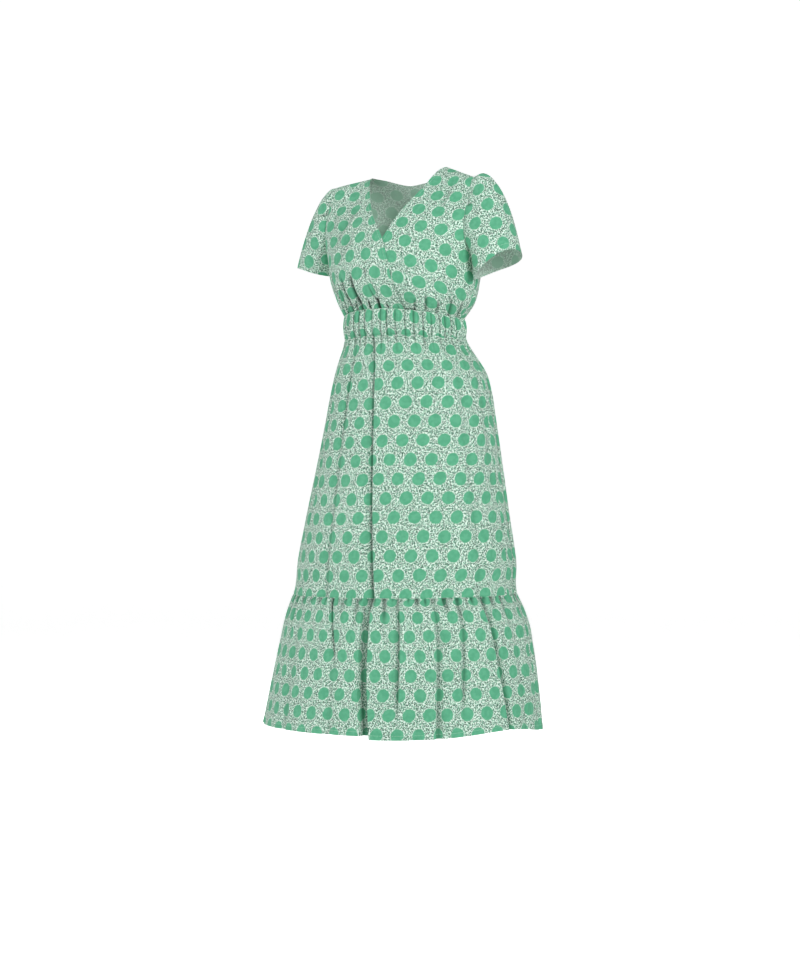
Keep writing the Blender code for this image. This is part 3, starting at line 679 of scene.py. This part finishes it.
def stitch(name, place, way, away, width):
    """Lays stitches on a piece along its turned edge. away grows down the grids' columns."""
    path = []
    for column in np.flatnonzero(away.min(axis=0) < 0.001):
        order = np.argsort(away[:, column])
        both = np.concatenate([place[order, column], way[order, column]], axis=1)
        path.append([np.interp(width - STITCHES_IN, away[order, column], one) for one in both.T])
    path = np.array(path)
    run = lengths(path[:, :3], 0)
    middles = np.arange(STITCH_PITCH, run[-1] - STITCH_PITCH, STITCH_PITCH)
    here = np.stack([np.interp(middles, run, one) for one in path.T], axis=-1)
    ahead = np.stack([np.interp(middles + 0.001, run, one) for one in path.T[:3]], axis=-1)
    along = unit(ahead - here[:, :3])
    across = unit(np.cross(here[:, 3:], along))
    frames = np.stack([along, across, np.cross(along, across)], axis=1) * STITCH_SIZE[:, None]
    beads = BEAD @ frames + here[:, None, :3]
    mesh = bpy.data.meshes.new(name)
    faces = [[corner + k * len(BEAD) for corner in face]
             for k in range(len(here)) for face in BEAD_FACES]
    mesh.from_pydata(beads.reshape(-1, 3), [], faces)
    mesh.shade_smooth()
    mesh.materials.append(THREAD)
    stitches = show(name, mesh)
    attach(stitches, "root")
    return stitches


def sew(name, lay, columns, rows, shift=(0.0, 0.0), turned=0.0, shade=1.0):
    """Makes one piece of cloth as a thin shell laid by lay(u, v), which takes grids of shares.

    shift moves the print on the piece, turned turns it, in degrees, and shade strengthens
    the shade in its creases. The way out and the laid surface are returned with the piece,
    for its stitches.
    """
    bm = bmesh.new()
    bmesh.ops.create_grid(bm, x_segments=columns, y_segments=len(rows) - 1, size=0.5)
    bmesh.ops.extrude_face_region(bm, geom=bm.faces[:])
    mesh = bpy.data.meshes.new(name)
    bm.to_mesh(mesh)
    flat = np.array([vert.co for vert in bm.verts])
    column = np.rint((flat[:, 0] + 0.5) * columns).astype(int)
    row = np.rint((flat[:, 1] + 0.5) * (len(rows) - 1)).astype(int)
    inner = np.arange(len(flat)) < len(flat) // 2
    form, way, cut, depth, away, cast = lay(*np.meshgrid(np.linspace(0, 1, columns + 1), rows))
    sunk = depth[row, column] + SHELL * inner
    place = form[row, column] - way[row, column] * sunk[:, None]
    pitch = lengths(form, 1)[:, -1].mean() / columns
    # Painted shade: creases, folds and gathers darken the colour of the outer points through this
    # attribute.
    shaded = 1 - (1 - crease_shade(depth, pitch, shade)) * (1 - cast)
    shaded = shaded[row, column] * ~inner
    mesh.vertices.foreach_set("co", place.ravel())
    corner = np.empty(len(mesh.loops), int)
    mesh.loops.foreach_get("vertex_index", corner)
    turn = np.radians(turned)
    across, up = cut[row, column].T
    laid = np.stack([across * np.cos(turn) - up * np.sin(turn) + shift[0],
                     across * np.sin(turn) + up * np.cos(turn) + shift[1]], axis=-1)
    mesh.uv_layers.new(name=CUT).uv.foreach_set("vector", laid[corner].ravel())
    mesh.attributes.new(SHADED, "FLOAT", "POINT").data.foreach_set("value", shaded)
    mesh.materials.append(RIGHT_SIDE)
    mesh.materials.append(WRONG_SIDE)
    inside = inner[corner.reshape(-1, 4)].all(axis=1)
    mesh.polygons.foreach_set("material_index", inside.astype(int))
    bm.clear()
    bm.from_mesh(mesh)
    if bm.calc_volume(signed=True) < 0:
        bmesh.ops.reverse_faces(bm, faces=bm.faces[:])
    bm.to_mesh(mesh)
    bm.free()
    mesh.shade_smooth()
    mesh.set_sharp_from_angle(angle=np.radians(SHARP_ANGLE))
    piece = show(name, mesh)
    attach(piece, "root")
    return piece, form - way * depth[..., None], way, away


def stands_for(piece, node, held_by, **cut):
    """Hides the solid that a piece stands for. Its flat cut is not used."""
    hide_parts(node)


BODICE_ROWS = shares(104, 0.6)
for name, side, gather, edge_column, placed, node, columns, tilt in (
    ("right_front", -1, RIGHT_FRONT_GATHERS, "right_edge", RIGHT_FRONT_CREASES,
     "bodice_front_right", 220, 0.0),
    ("left_front", 1, LEFT_FRONT_GATHERS, "left_edge", LEFT_FRONT_CREASES,
     "bodice_front_left", 180, 8.0),
):
    lay = front_panel(side, gather, edge_column, placed)
    piece, place, way, away = sew(name, lay, columns, BODICE_ROWS, turned=tilt, shade=1.3)
    line = stitch(name + "_stitches", place.swapaxes(0, 1), way.swapaxes(0, 1), away.T, NECK_TURNING)
    stands_for(piece, node, "bodice_back", flat=(0.27, 0.34), area=0.055, with_pieces=[line])


# -------------------- bodice back
# One cotton back, gathered lightly into the waistband, with a shallow round neck.

BACK_GATHERS = Gather(20, 0.0046, 0.002, 0.040, 17)
NECK_COLUMN = 7 / 15        # how far out across the back the neckline ends
BACK_REACH = 0.15           # about how wide half the back is
ELSEWHERE = 1.0             # a distance that no edge's rise or dip reaches


def back_panel(u, v):
    """Lays the bodice's back: u from +X across to -X, v from the waist up."""
    across = 1 - 2 * u
    half = np.abs(across)
    angle, level_out = outer_edge(v, "back")
    neck_angle = np.degrees(np.arcsin(NECK_HALF / TORSO[RIDGE].half_width))
    neck_share = neck_angle / SHOULDER_ANGLE
    past_neck = (half - NECK_COLUMN) / (1 - NECK_COLUMN)
    at_top = np.where(
        half < NECK_COLUMN, neck_share * half / NECK_COLUMN, blend(neck_share, 1, past_neck)
    )
    spread = blend(half, at_top, ease(v))
    turn = np.pi - np.sign(across) * spread * angle
    dip = np.sqrt(np.clip(1 - (half / NECK_COLUMN) ** 2, 0, 1))
    top = blend(RIDGE, BACK_NECK_LEVEL, dip)
    level = blend(top * v, level_out, half ** 2)
    level = np.where(v >= 1, top, level)
    points = bodice_form(turn, level, True)
    way = bodice_way_out(turn, level, True)
    above = lengths(points, 0)
    depth = gathers(BACK_GATHERS, u, above) + seam_dip(above)
    depth = depth + seam_dip((above[-1:] - above) + ELSEWHERE * (half < NECK_COLUMN))
    away = above[-1:] - above + ELSEWHERE * (half >= NECK_COLUMN)
    depth = depth + SIDE_DIP * seam_dip((1 - half) * BACK_REACH) - turned_edge(away, NECK_TURNING)
    return Laid(points, way, flat_bodice(turn, level, True), depth, away)


piece, place, way, away = sew("back", back_panel, 220, BODICE_ROWS)
line = stitch("back_stitches", place, way, away, NECK_TURNING)
stands_for(piece, "bodice_back", "waistband_back", flat=(0.44, 0.31), area=0.115,
           with_pieces=[line])


# -------------------- sleeves
# Short set-in cotton sleeves. The head of each is gathered into the armhole and stands up
# a little, and the cuff edge is turned under.

Sleeve = namedtuple(
    "Sleeve", "side head_reach head_rise cuff_x cuff_y cuff_drop cuff_slant cuff_twist"
)
SLEEVES = {
    "sleeve_right": Sleeve(-1, 0.125, 6.0, 0.2145, 0.0200, 0.1994, 0.0097, 0.0020),
    "sleeve_left": Sleeve(1, 0.200, 30.0, 0.2165, 0.0000, 0.1965, 0.0267, 0.0055),
}
CUFF_HALF_WIDTH = 0.047
CUFF_HALF_DEPTH = 0.0535
UNDERARM_REACH = 0.040
UNDERARM_RISE = -60.0
CUFF_PULL = {"under": 0.035, "over": 0.140}
CUFF_FLARE = 0.25
SLEEVE_FULLNESS = 0.35
SLEEVE_GATHERS = Gather(18, 0.0042, 0.002, 0.022, 21)
SLEEVE_HEAD = (0.33, 0.67)
SLEEVE_PINCH = 0.22
SLEEVE_SEAM = 0.0006        # the underarm seam's edges stop this share short of each other
SLEEVE_WIDTH = 0.34         # the flat width of a sleeve
CUFF_TURNING = 0.014


def flatten(points, guess, every=5, rounds=60):
    """Lays a curved piece out flat, as near to its true size all over as it will go.

    guess is a first flat shape, as complex numbers. Each small patch is turned to fit the
    piece as laid so far and the patches are joined again, round after round. The middle
    of the last row stays at 0.
    """
    coarse = points[::every, ::every]
    number = np.arange(coarse[..., 0].size).reshape(coarse.shape[:2])
    first, third = number[:-1, :-1], number[1:, 1:]
    corners = np.concatenate([
        np.stack([first, number[:-1, 1:], third], axis=-1).reshape(-1, 3),
        np.stack([first, third, number[1:, :-1]], axis=-1).reshape(-1, 3),
    ])
    at = coarse.reshape(-1, 3)[corners]
    along = unit(at[:, 1] - at[:, 0])
    beside = np.cross(unit(np.cross(along, at[:, 2] - at[:, 0])), along)
    place = (at * along[:, None]).sum(axis=-1) + 1j * (at * beside[:, None]).sum(axis=-1)
    sides = np.roll(place, -1, axis=1) - place
    ends = np.roll(corners, -1, axis=1)
    joins = np.zeros((number.size, number.size))
    for a, b, share in (
        (corners, corners, 1), (ends, ends, 1), (corners, ends, -1), (ends, corners, -1)
    ):
        np.add.at(joins, (a, b), share)
    held = number[-1, number.shape[1] // 2]
    joins[held, held] += 1
    settle = np.linalg.inv(joins)
    flat = guess[::every, ::every].ravel()
    for _ in range(rounds):
        turn = ((flat[ends] - flat[corners]) * np.conj(sides)).sum(axis=1, keepdims=True)
        fitted = turn / np.abs(turn) * sides
        pull = np.zeros(number.size, complex)
        np.add.at(pull, ends, fitted)
        np.add.at(pull, corners, -fitted)
        flat = settle @ pull.real + 1j * (settle @ pull.imag)
    flat = flat.reshape(number.shape)
    for axis in (0, 1):
        at_fine = np.arange(points.shape[axis]) / every
        at_coarse = np.arange(coarse.shape[axis])
        flat = np.apply_along_axis(lambda line: np.interp(at_fine, at_coarse, line), axis, flat)
    return flat


def sleeve_panel(sleeve):
    """Lays a sleeve: u once round from the armpit by the front, v from armhole to cuff."""
    side = sleeve.side

    def armhole_point(a, face):
        turn = np.radians(armhole_angle(a, face))
        turn = side * turn if face == "front" else np.pi - side * turn
        return bodice_form(turn, armhole_level(a), face == "back")

    def surface(u, v):
        a = np.where(u <= 0.5, 2 * u, 2 - 2 * u)
        at_front = (u <= 0.5)[..., None]
        start = np.where(at_front, armhole_point(a, "front"), armhole_point(a, "back"))
        over = (1 - np.cos(2 * np.pi * u)) / 2
        rise = np.radians(blend(UNDERARM_RISE, sleeve.head_rise, over))
        reach = blend(UNDERARM_REACH, sleeve.head_reach, over ** 1.5)
        fullness = -SLEEVE_FULLNESS * np.sin(2 * np.pi * u) * reach
        leave = np.stack([side * reach * np.cos(rise), fullness, reach * np.sin(rise)], axis=-1)
        round_cuff = 2 * np.pi * u
        cuff = np.stack([
            side * (sleeve.cuff_x - CUFF_HALF_WIDTH * np.cos(round_cuff)),
            sleeve.cuff_y - CUFF_HALF_DEPTH * np.sin(round_cuff),
            -sleeve.cuff_drop - sleeve.cuff_slant * np.cos(round_cuff)
            - sleeve.cuff_twist * np.sin(2 * round_cuff),
        ], axis=-1)
        pull = blend(CUFF_PULL["under"], CUFF_PULL["over"], over)
        arrive = np.stack([side * CUFF_FLARE * pull, 0 * pull, -pull], axis=-1)
        s = v[..., None]
        points = (1 + 2 * s) * (1 - s) ** 2 * start + s * (1 - s) ** 2 * leave
        return points + s * s * (3 - 2 * s) * cuff - s * s * (1 - s) * arrive

    def lay(u, v):
        step = 1e-3
        u = blend(SLEEVE_SEAM, 1 - SLEEVE_SEAM, u)
        points = surface(u, v)
        round_it = surface((u + step) % 1.0, v) - surface((u - step) % 1.0, v)
        low = np.clip(v, step, 1 - step)
        along = surface(u, low + step) - surface(u, low - step)
        way = side * unit(np.cross(along, round_it))
        head = (u > SLEEVE_HEAD[0]) & (u < SLEEVE_HEAD[1])
        down = lengths(points, 0)
        depth = gathers(SLEEVE_GATHERS, u, down, SLEEVE_PINCH) * head + SIDE_DIP * seam_dip(down)
        away = down[-1:] - down
        flat = flatten(points, 1j * away - (u - 0.5) * SLEEVE_WIDTH)
        cut = np.stack([-side * flat.real, flat.imag], axis=-1)
        return Laid(points, way, cut, depth - turned_edge(away, CUFF_TURNING), away)

    return lay


for name, sleeve in SLEEVES.items():
    cap = name.replace("sleeve", "cap")
    piece, place, way, away = sew(cap, sleeve_panel(sleeve), 180, shares(80, 0.5), turned=90.0)
    line = stitch(cap + "_stitches", place, way, away, CUFF_TURNING)
    stands_for(piece, name, "bodice_back", flat=(0.34, 0.17), area=0.040, with_pieces=[line])


# -------------------- waistband and skirt
# A cotton waistband drawn up into fine upright gathers all round, front and back, and
# below it a skirt cut wider to the hem, gathered into the band, with a few long soft folds.

Ring = namedtuple("Ring", "drop half_width front back shift")
LOWER = [
    Ring(0.298, 0.1310, 0.099, 0.093, 0.000),     # waist seam
    Ring(0.320, 0.1320, 0.100, 0.095, 0.001),     # middle of the waistband
    Ring(0.343, 0.1325, 0.099, 0.097, 0.002),     # top of the skirt
    Ring(0.362, 0.1390, 0.104, 0.107, 0.005),
    Ring(0.385, 0.1510, 0.113, 0.119, 0.009),
    Ring(0.412, 0.1630, 0.123, 0.130, 0.0135),    # hips
    Ring(0.442, 0.1710, 0.130, 0.137, 0.0145),
    Ring(0.503, 0.1820, 0.139, 0.146, 0.0135),
    Ring(0.586, 0.1970, 0.151, 0.157, 0.011),
    Ring(0.700, 0.2180, 0.168, 0.172, 0.0065),
    Ring(0.791, 0.2340, 0.182, 0.184, 0.004),
    Ring(0.856, 0.2400, 0.187, 0.188, 0.001),     # seam of the flounce
    Ring(0.875, 0.2485, 0.194, 0.195, 0.002),
    Ring(0.907, 0.2605, 0.203, 0.204, 0.003),
    Ring(0.960, 0.2720, 0.212, 0.213, 0.002),
    Ring(1.029, 0.2850, 0.222, 0.222, -0.001),
    Ring(1.125, 0.3005, 0.234, 0.234, -0.007),    # hem
]
BAND_SEAM = Seam(0.3425, 0.0075, -0.0025, 0.000)
FLOUNCE_SEAM = Seam(0.8565, 0.0010, -0.0050, 0.000)
BAND_GATHERS = Gather(22, 0.0040, 0.003, 0.0, 3)
SKIRT_GATHERS = Gather(22, 0.0044, 0.0, 0.040, 3)
BAND_PUCKERS = Gather(41, 0.0020, 0.003, 0.0, 8)
SKIRT_PUCKERS = Gather(41, 0.0026, 0.002, 0.018, 8)
BAND_BULGE = 0.002
LEAN_SPREAD = 0.22
SKIRT_LEAN = 15.7
BAND_WIDTHS = (0.47, 0.47)          # the flat width of half a band, at its top and foot
BAND_HEIGHTS = {"front": 0.055, "back": 0.045}
SKIRT_WIDTHS = (0.44, 0.70)

# Long folds: troughs that hang from top to bottom. Angles are degrees from the centre front
# towards the wearer's left, and the fold bows between them. The other sizes are millimetres:
# its depth, the width of its floor, and the widths of its flanks to the right and left of
# the wearer. Shade is how dark its floor's colour is painted. A fold starts and ends at
# shares of the piece's height.
Fold = namedtuple(
    "Fold",
    "top_angle low_angle bow top_depth low_depth floor right_flank left_flank shade start end",
    defaults=(0.08, -1.0, 2.0),
)
SKIRT_FOLDS = [
    Fold(-7.0, 8.7, 0, 3.2, 5.0, 0, 30, 5, 0.20),
    Fold(-7.0, 8.7, 0, 2.8, 3.6, 1, 10, 5, 0.10),
    Fold(-29.0, -19.0, 0, 4.5, 3.5, 0, 24, 9, 0.14),
    Fold(-29.0, -24.0, 0, 3.5, 3.5, 0, 8, 4, 0.10, 0.05, 0.55),
    Fold(-52.0, -46.0, 0, 4.0, 3.5, 0, 20, 9, 0.10, -1.0, 0.85),
    Fold(23.0, 27.0, 0, 2.2, 1.0, 0, 16, 20, 0.04, -1.0, 0.55),
    Fold(40.0, 45.0, 0, 2.6, 2.4, 0, 14, 34, 0.04, -1.0, 1.4),
    Fold(62.0, 66.0, 0, 3.2, 3.0, 0, 16, 24),
    Fold(84.0, 84.0, 0, 3.0, 2.4, 0, 14, 20, 0.10, -1.0, 0.8),
    Fold(106.0, 104.0, 0, 3.4, 4.5, 0, 28, 10, 0.14),
    Fold(128.0, 126.0, 0, 3.5, 6.0, 0, 10, 30, 0.14),
    Fold(147.0, 150.0, 0, 3.5, 2.5, 0, 22, 14, 0.10, -1.0, 0.7),
    Fold(168.0, 170.0, 0, 4.0, 6.5, 2, 5, 30, 0.16),
    Fold(188.0, 186.0, 0, 3.6, 2.4, 0, 20, 12, 0.10, -1.0, 0.6),
    Fold(206.0, 207.0, 0, 3.5, 6.0, 0, 30, 10, 0.14),
    Fold(226.0, 229.0, 0, 3.2, 2.8, 0, 16, 20, 0.08, -1.0, 0.8),
    Fold(244.0, 246.0, 0, 3.0, 4.0, 0, 12, 28, 0.12),
]
FOLD_STARTS = 0.030         # folds that run from a seam begin this far below it
FOLD_ENDS = (0.2, 0.3)      # the shares of the height over which a fold's two ends fade
HEM_TURNING = 0.010
CRIMP_REACH = 0.015
PUCKER_SHADE_FULL = 0.0045         # a gather this deep gets the full shade painted into its piece's gathers


def long_folds(folds, angle, share, radius):
    """Depth of hanging folds, and the shade painted into them, at an angle in degrees and a share of
    the height.
    """
    depth, lit = 0.0 * angle, 1.0
    for fold in folds:
        at = blend(fold.top_angle, fold.low_angle, share) + 4 * fold.bow * share * (1 - share)
        across = np.radians((angle - at + 180.0) % 360.0 - 180.0) * radius / MM
        into = ease((across + fold.right_flank) / fold.right_flank)
        out_of = ease((fold.floor + fold.left_flank - across) / fold.left_flank)
        along = ease((share - fold.start) / FOLD_ENDS[0]) * ease((fold.end - share) / FOLD_ENDS[1])
        depth += blend(fold.top_depth, fold.low_depth, share) * MM * into * out_of * along
        # Painted shade: a fold's floor darkens the colour.
        lit = lit * (1 - fold.shade * (into * out_of) ** 3 * along)
    return depth, 1 - lit


def lower_form(turn, drop, behind):
    """Points of the form below the waist seam, at a drop below the origin."""
    deep = read(LOWER, "back" if behind else "front", drop, "drop")
    x = read(LOWER, "shift", drop, "drop") + read(LOWER, "half_width", drop, "drop") * np.sin(turn)
    return np.stack([x, -deep * np.cos(turn), -drop], axis=-1)


def lower_panel(behind, seams, gather, pucker, folds, widths, folds_above=(), bulge=0.0,
                lean=0.0, crimp=0.0, pucker_shade=0.0, at_hem=None):
    """Lays a piece below the waist: u round it from one side seam to the other, v down.

    lean, in degrees, turns its columns along a fold that leans. crimp is the cloth that its
    top seam's puckers take up, and the share after it is how strongly shade is painted into
    them. at_hem gives how far the lower edge hangs below its seam line at an angle in degrees.
    """
    def lay(u, v):
        start = np.pi / 2 if behind else -np.pi / 2
        turn = start + np.pi * u
        turn = turn + np.radians(lean) * (v - 0.5) * np.exp(-((u - 0.5) / LEAN_SPREAD) ** 2)
        degrees = np.degrees(turn)
        top, low = seam_drop(seams[0], turn), seam_drop(seams[1], turn)
        if at_hem:
            low = low + at_hem(degrees)
        drop = blend(top, low, v)
        form = lower_form(turn, drop, behind)
        way = np.stack([np.sin(turn), -np.cos(turn), 0 * turn], axis=-1)
        radius = read(LOWER, "half_width", drop, "drop")
        down = drop - top
        round_it = (turn - start) / np.pi
        depth = gathers(gather, round_it, down) + gathers(pucker, round_it, down)
        # Painted shade: the deeper a gather or pucker, the darker its colour is painted.
        pinch = pucker_shade * ease(depth / PUCKER_SHADE_FULL)
        depth = depth - bulge * np.sin(np.pi * v)
        above = long_folds(folds_above, degrees, 1.0 + 0 * v, radius)[0]
        below, cast = long_folds(folds, degrees, v, radius)
        depth = depth + blend(above, below, ease(down / FOLD_STARTS))
        depth = depth + seam_dip(down) + seam_dip(np.minimum(u, 1 - u) * np.pi * radius)
        if at_hem:
            depth = depth - turned_edge(low - drop, HEM_TURNING)
        else:
            depth = depth + seam_dip(low - drop)
        across = lengths(form - way * depth[..., None], 1)
        share = across / across[:, -1:]
        width = blend(widths[0], widths[1], v)
        taken = crimp * np.exp(-((down / CRIMP_REACH) ** 2))
        cut = np.stack([(share - 0.5) * width, taken - lengths(form, 0)], axis=-1)
        return Laid(form, way, cut, depth, low - drop, 1 - (1 - cast) * (1 - pinch))
    return lay


for face, behind in (("front", False), ("back", True)):
    band = lower_panel(behind, (WAIST_SEAM, BAND_SEAM), BAND_GATHERS, BAND_PUCKERS, [],
                       BAND_WIDTHS, bulge=BAND_BULGE)
    piece = sew("band_" + face, band, 400, shares(24, 0.5), shift=(-0.007, 0.013))[0]
    stands_for(piece, "waistband_" + face, "bodice_back", flat=(0.47, BAND_HEIGHTS[face]))

    skirt = lower_panel(behind, (BAND_SEAM, FLOUNCE_SEAM), SKIRT_GATHERS, SKIRT_PUCKERS,
                        SKIRT_FOLDS, SKIRT_WIDTHS, lean=0.0 if behind else SKIRT_LEAN,
                        pucker_shade=0.25)
    piece = sew("skirt_panel_" + face, skirt, 300 if behind else 430, shares(90, 0.6),
                shift=(-0.006, 0.029), shade=0.5)[0]
    stands_for(piece, "skirt_" + face, "waistband_" + face, flat=(0.70, 0.53), area=0.30)


# -------------------- flounce
# A deep cotton flounce, cut over a quarter wider than the skirt's foot and gathered on to
# it, with long folds down to a narrow machined hem.

HEM = Seam(1.1245, 0.0025, 0.0000, 0.014)
FLOUNCE_GATHERS = Gather(24, 0.0060, 0.002, 0.036, 9)
FLOUNCE_PUCKERS = Gather(43, 0.0046, 0.0015, 0.015, 31)
FLOUNCE_WIDTHS = (0.90, 0.90)
FLOUNCE_CRIMP = 0.0108
FLOUNCE_LEAN = 5.0
FLOUNCE_FOLDS = [
    Fold(-78.0, -78.0, 0, 2.0, 4.0, 0, 20, 14),
    Fold(-62.0, -60.0, 0, 2.0, 5.0, 0, 12, 24),
    Fold(-44.0, -38.0, 0, 5.0, 3.0, 0, 12, 6, 0.14, -1.0, 0.50),
    Fold(-36.0, -32.0, 0, 1.0, 4.5, 0, 26, 18),
    Fold(-15.0, 1.0, 0, 6.5, 4.5, 0, 8, 5, 0.16, -1.0, 0.60),
    Fold(-12.0, -6.0, 0, 2.0, 5.0, 0, 22, 22),
    Fold(4.0, 8.6, -1.5, 11.0, 18.5, 15.5, 2.6, 2.6, 0.14),
    Fold(21.2, 22.6, 0, 7.5, 9.5, 0.5, 16, 5, 0.22, -1.0, 0.95),
    Fold(31.0, 31.0, 0, 2.0, 3.0, 0, 16, 16, 0.04, -1.0, 1.3),
    Fold(39.6, 39.4, 0, 5.5, 10.0, 1, 6, 18, 0.12),
    Fold(53.0, 50.0, 0, 5.0, 8.0, 0.5, 12, 6, 0.14, -1.0, 0.95),
    Fold(67.0, 75.0, 0, 8.0, 11.0, 0.5, 11, 7, 0.12),
    Fold(84.0, 86.0, 0, 2.0, 4.0, 0, 20, 12),
    Fold(99.0, 101.0, 0, 3.0, 9.0, 3, 12, 26, 0.16),
    Fold(124.0, 125.0, 0, 5.0, 12.0, 6, 26, 7, 0.16),
    Fold(149.0, 147.0, 0, 3.0, 9.0, 2, 10, 26, 0.14),
    Fold(171.0, 172.0, 0, 5.0, 13.0, 8, 6, 24, 0.16),
    Fold(194.0, 196.0, 0, 4.0, 10.0, 4, 24, 9, 0.14),
    Fold(219.0, 218.0, 0, 4.0, 12.0, 6, 7, 26, 0.16),
    Fold(243.0, 246.0, 0, 3.0, 8.0, 2, 24, 10, 0.14),
    Fold(260.0, 261.0, 0, 2.0, 5.0, 0, 14, 20, 0.10),
]
HEM_STEP = {"angle": 11.2, "over": 0.9, "left_down": 0.0052, "left_reach": 26.0,
            "right_up": 0.0012, "right_reach": 20.0}


def hem_hang(degrees):
    """How far the hem hangs down: it steps at the deepest fold and dips at the soft ones."""
    away = degrees - HEM_STEP["angle"]
    left = HEM_STEP["left_down"] * np.exp(-((away / HEM_STEP["left_reach"]) ** 2))
    right = -HEM_STEP["right_up"] * np.exp(-((away / HEM_STEP["right_reach"]) ** 2))
    return blend(right, left, ease(away / HEM_STEP["over"] + 0.5))


for face, behind in (("front", False), ("back", True)):
    flounce = lower_panel(behind, (FLOUNCE_SEAM, HEM), FLOUNCE_GATHERS, FLOUNCE_PUCKERS,
                          FLOUNCE_FOLDS, FLOUNCE_WIDTHS, folds_above=SKIRT_FOLDS,
                          lean=0.0 if behind else FLOUNCE_LEAN, crimp=FLOUNCE_CRIMP,
                          pucker_shade=0.5, at_hem=hem_hang)
    piece, place, way, away = sew(
        "flounce_panel_" + face, flounce, 440 if behind else 610, shares(52, 0.5),
        shift=(0.0, 0.039), shade=0.42)
    line = stitch("hem_stitches_" + face, place, way, away, HEM_TURNING)
    stands_for(piece, "flounce_" + face, "skirt_" + face, flat=(0.90, 0.27), with_pieces=[line])
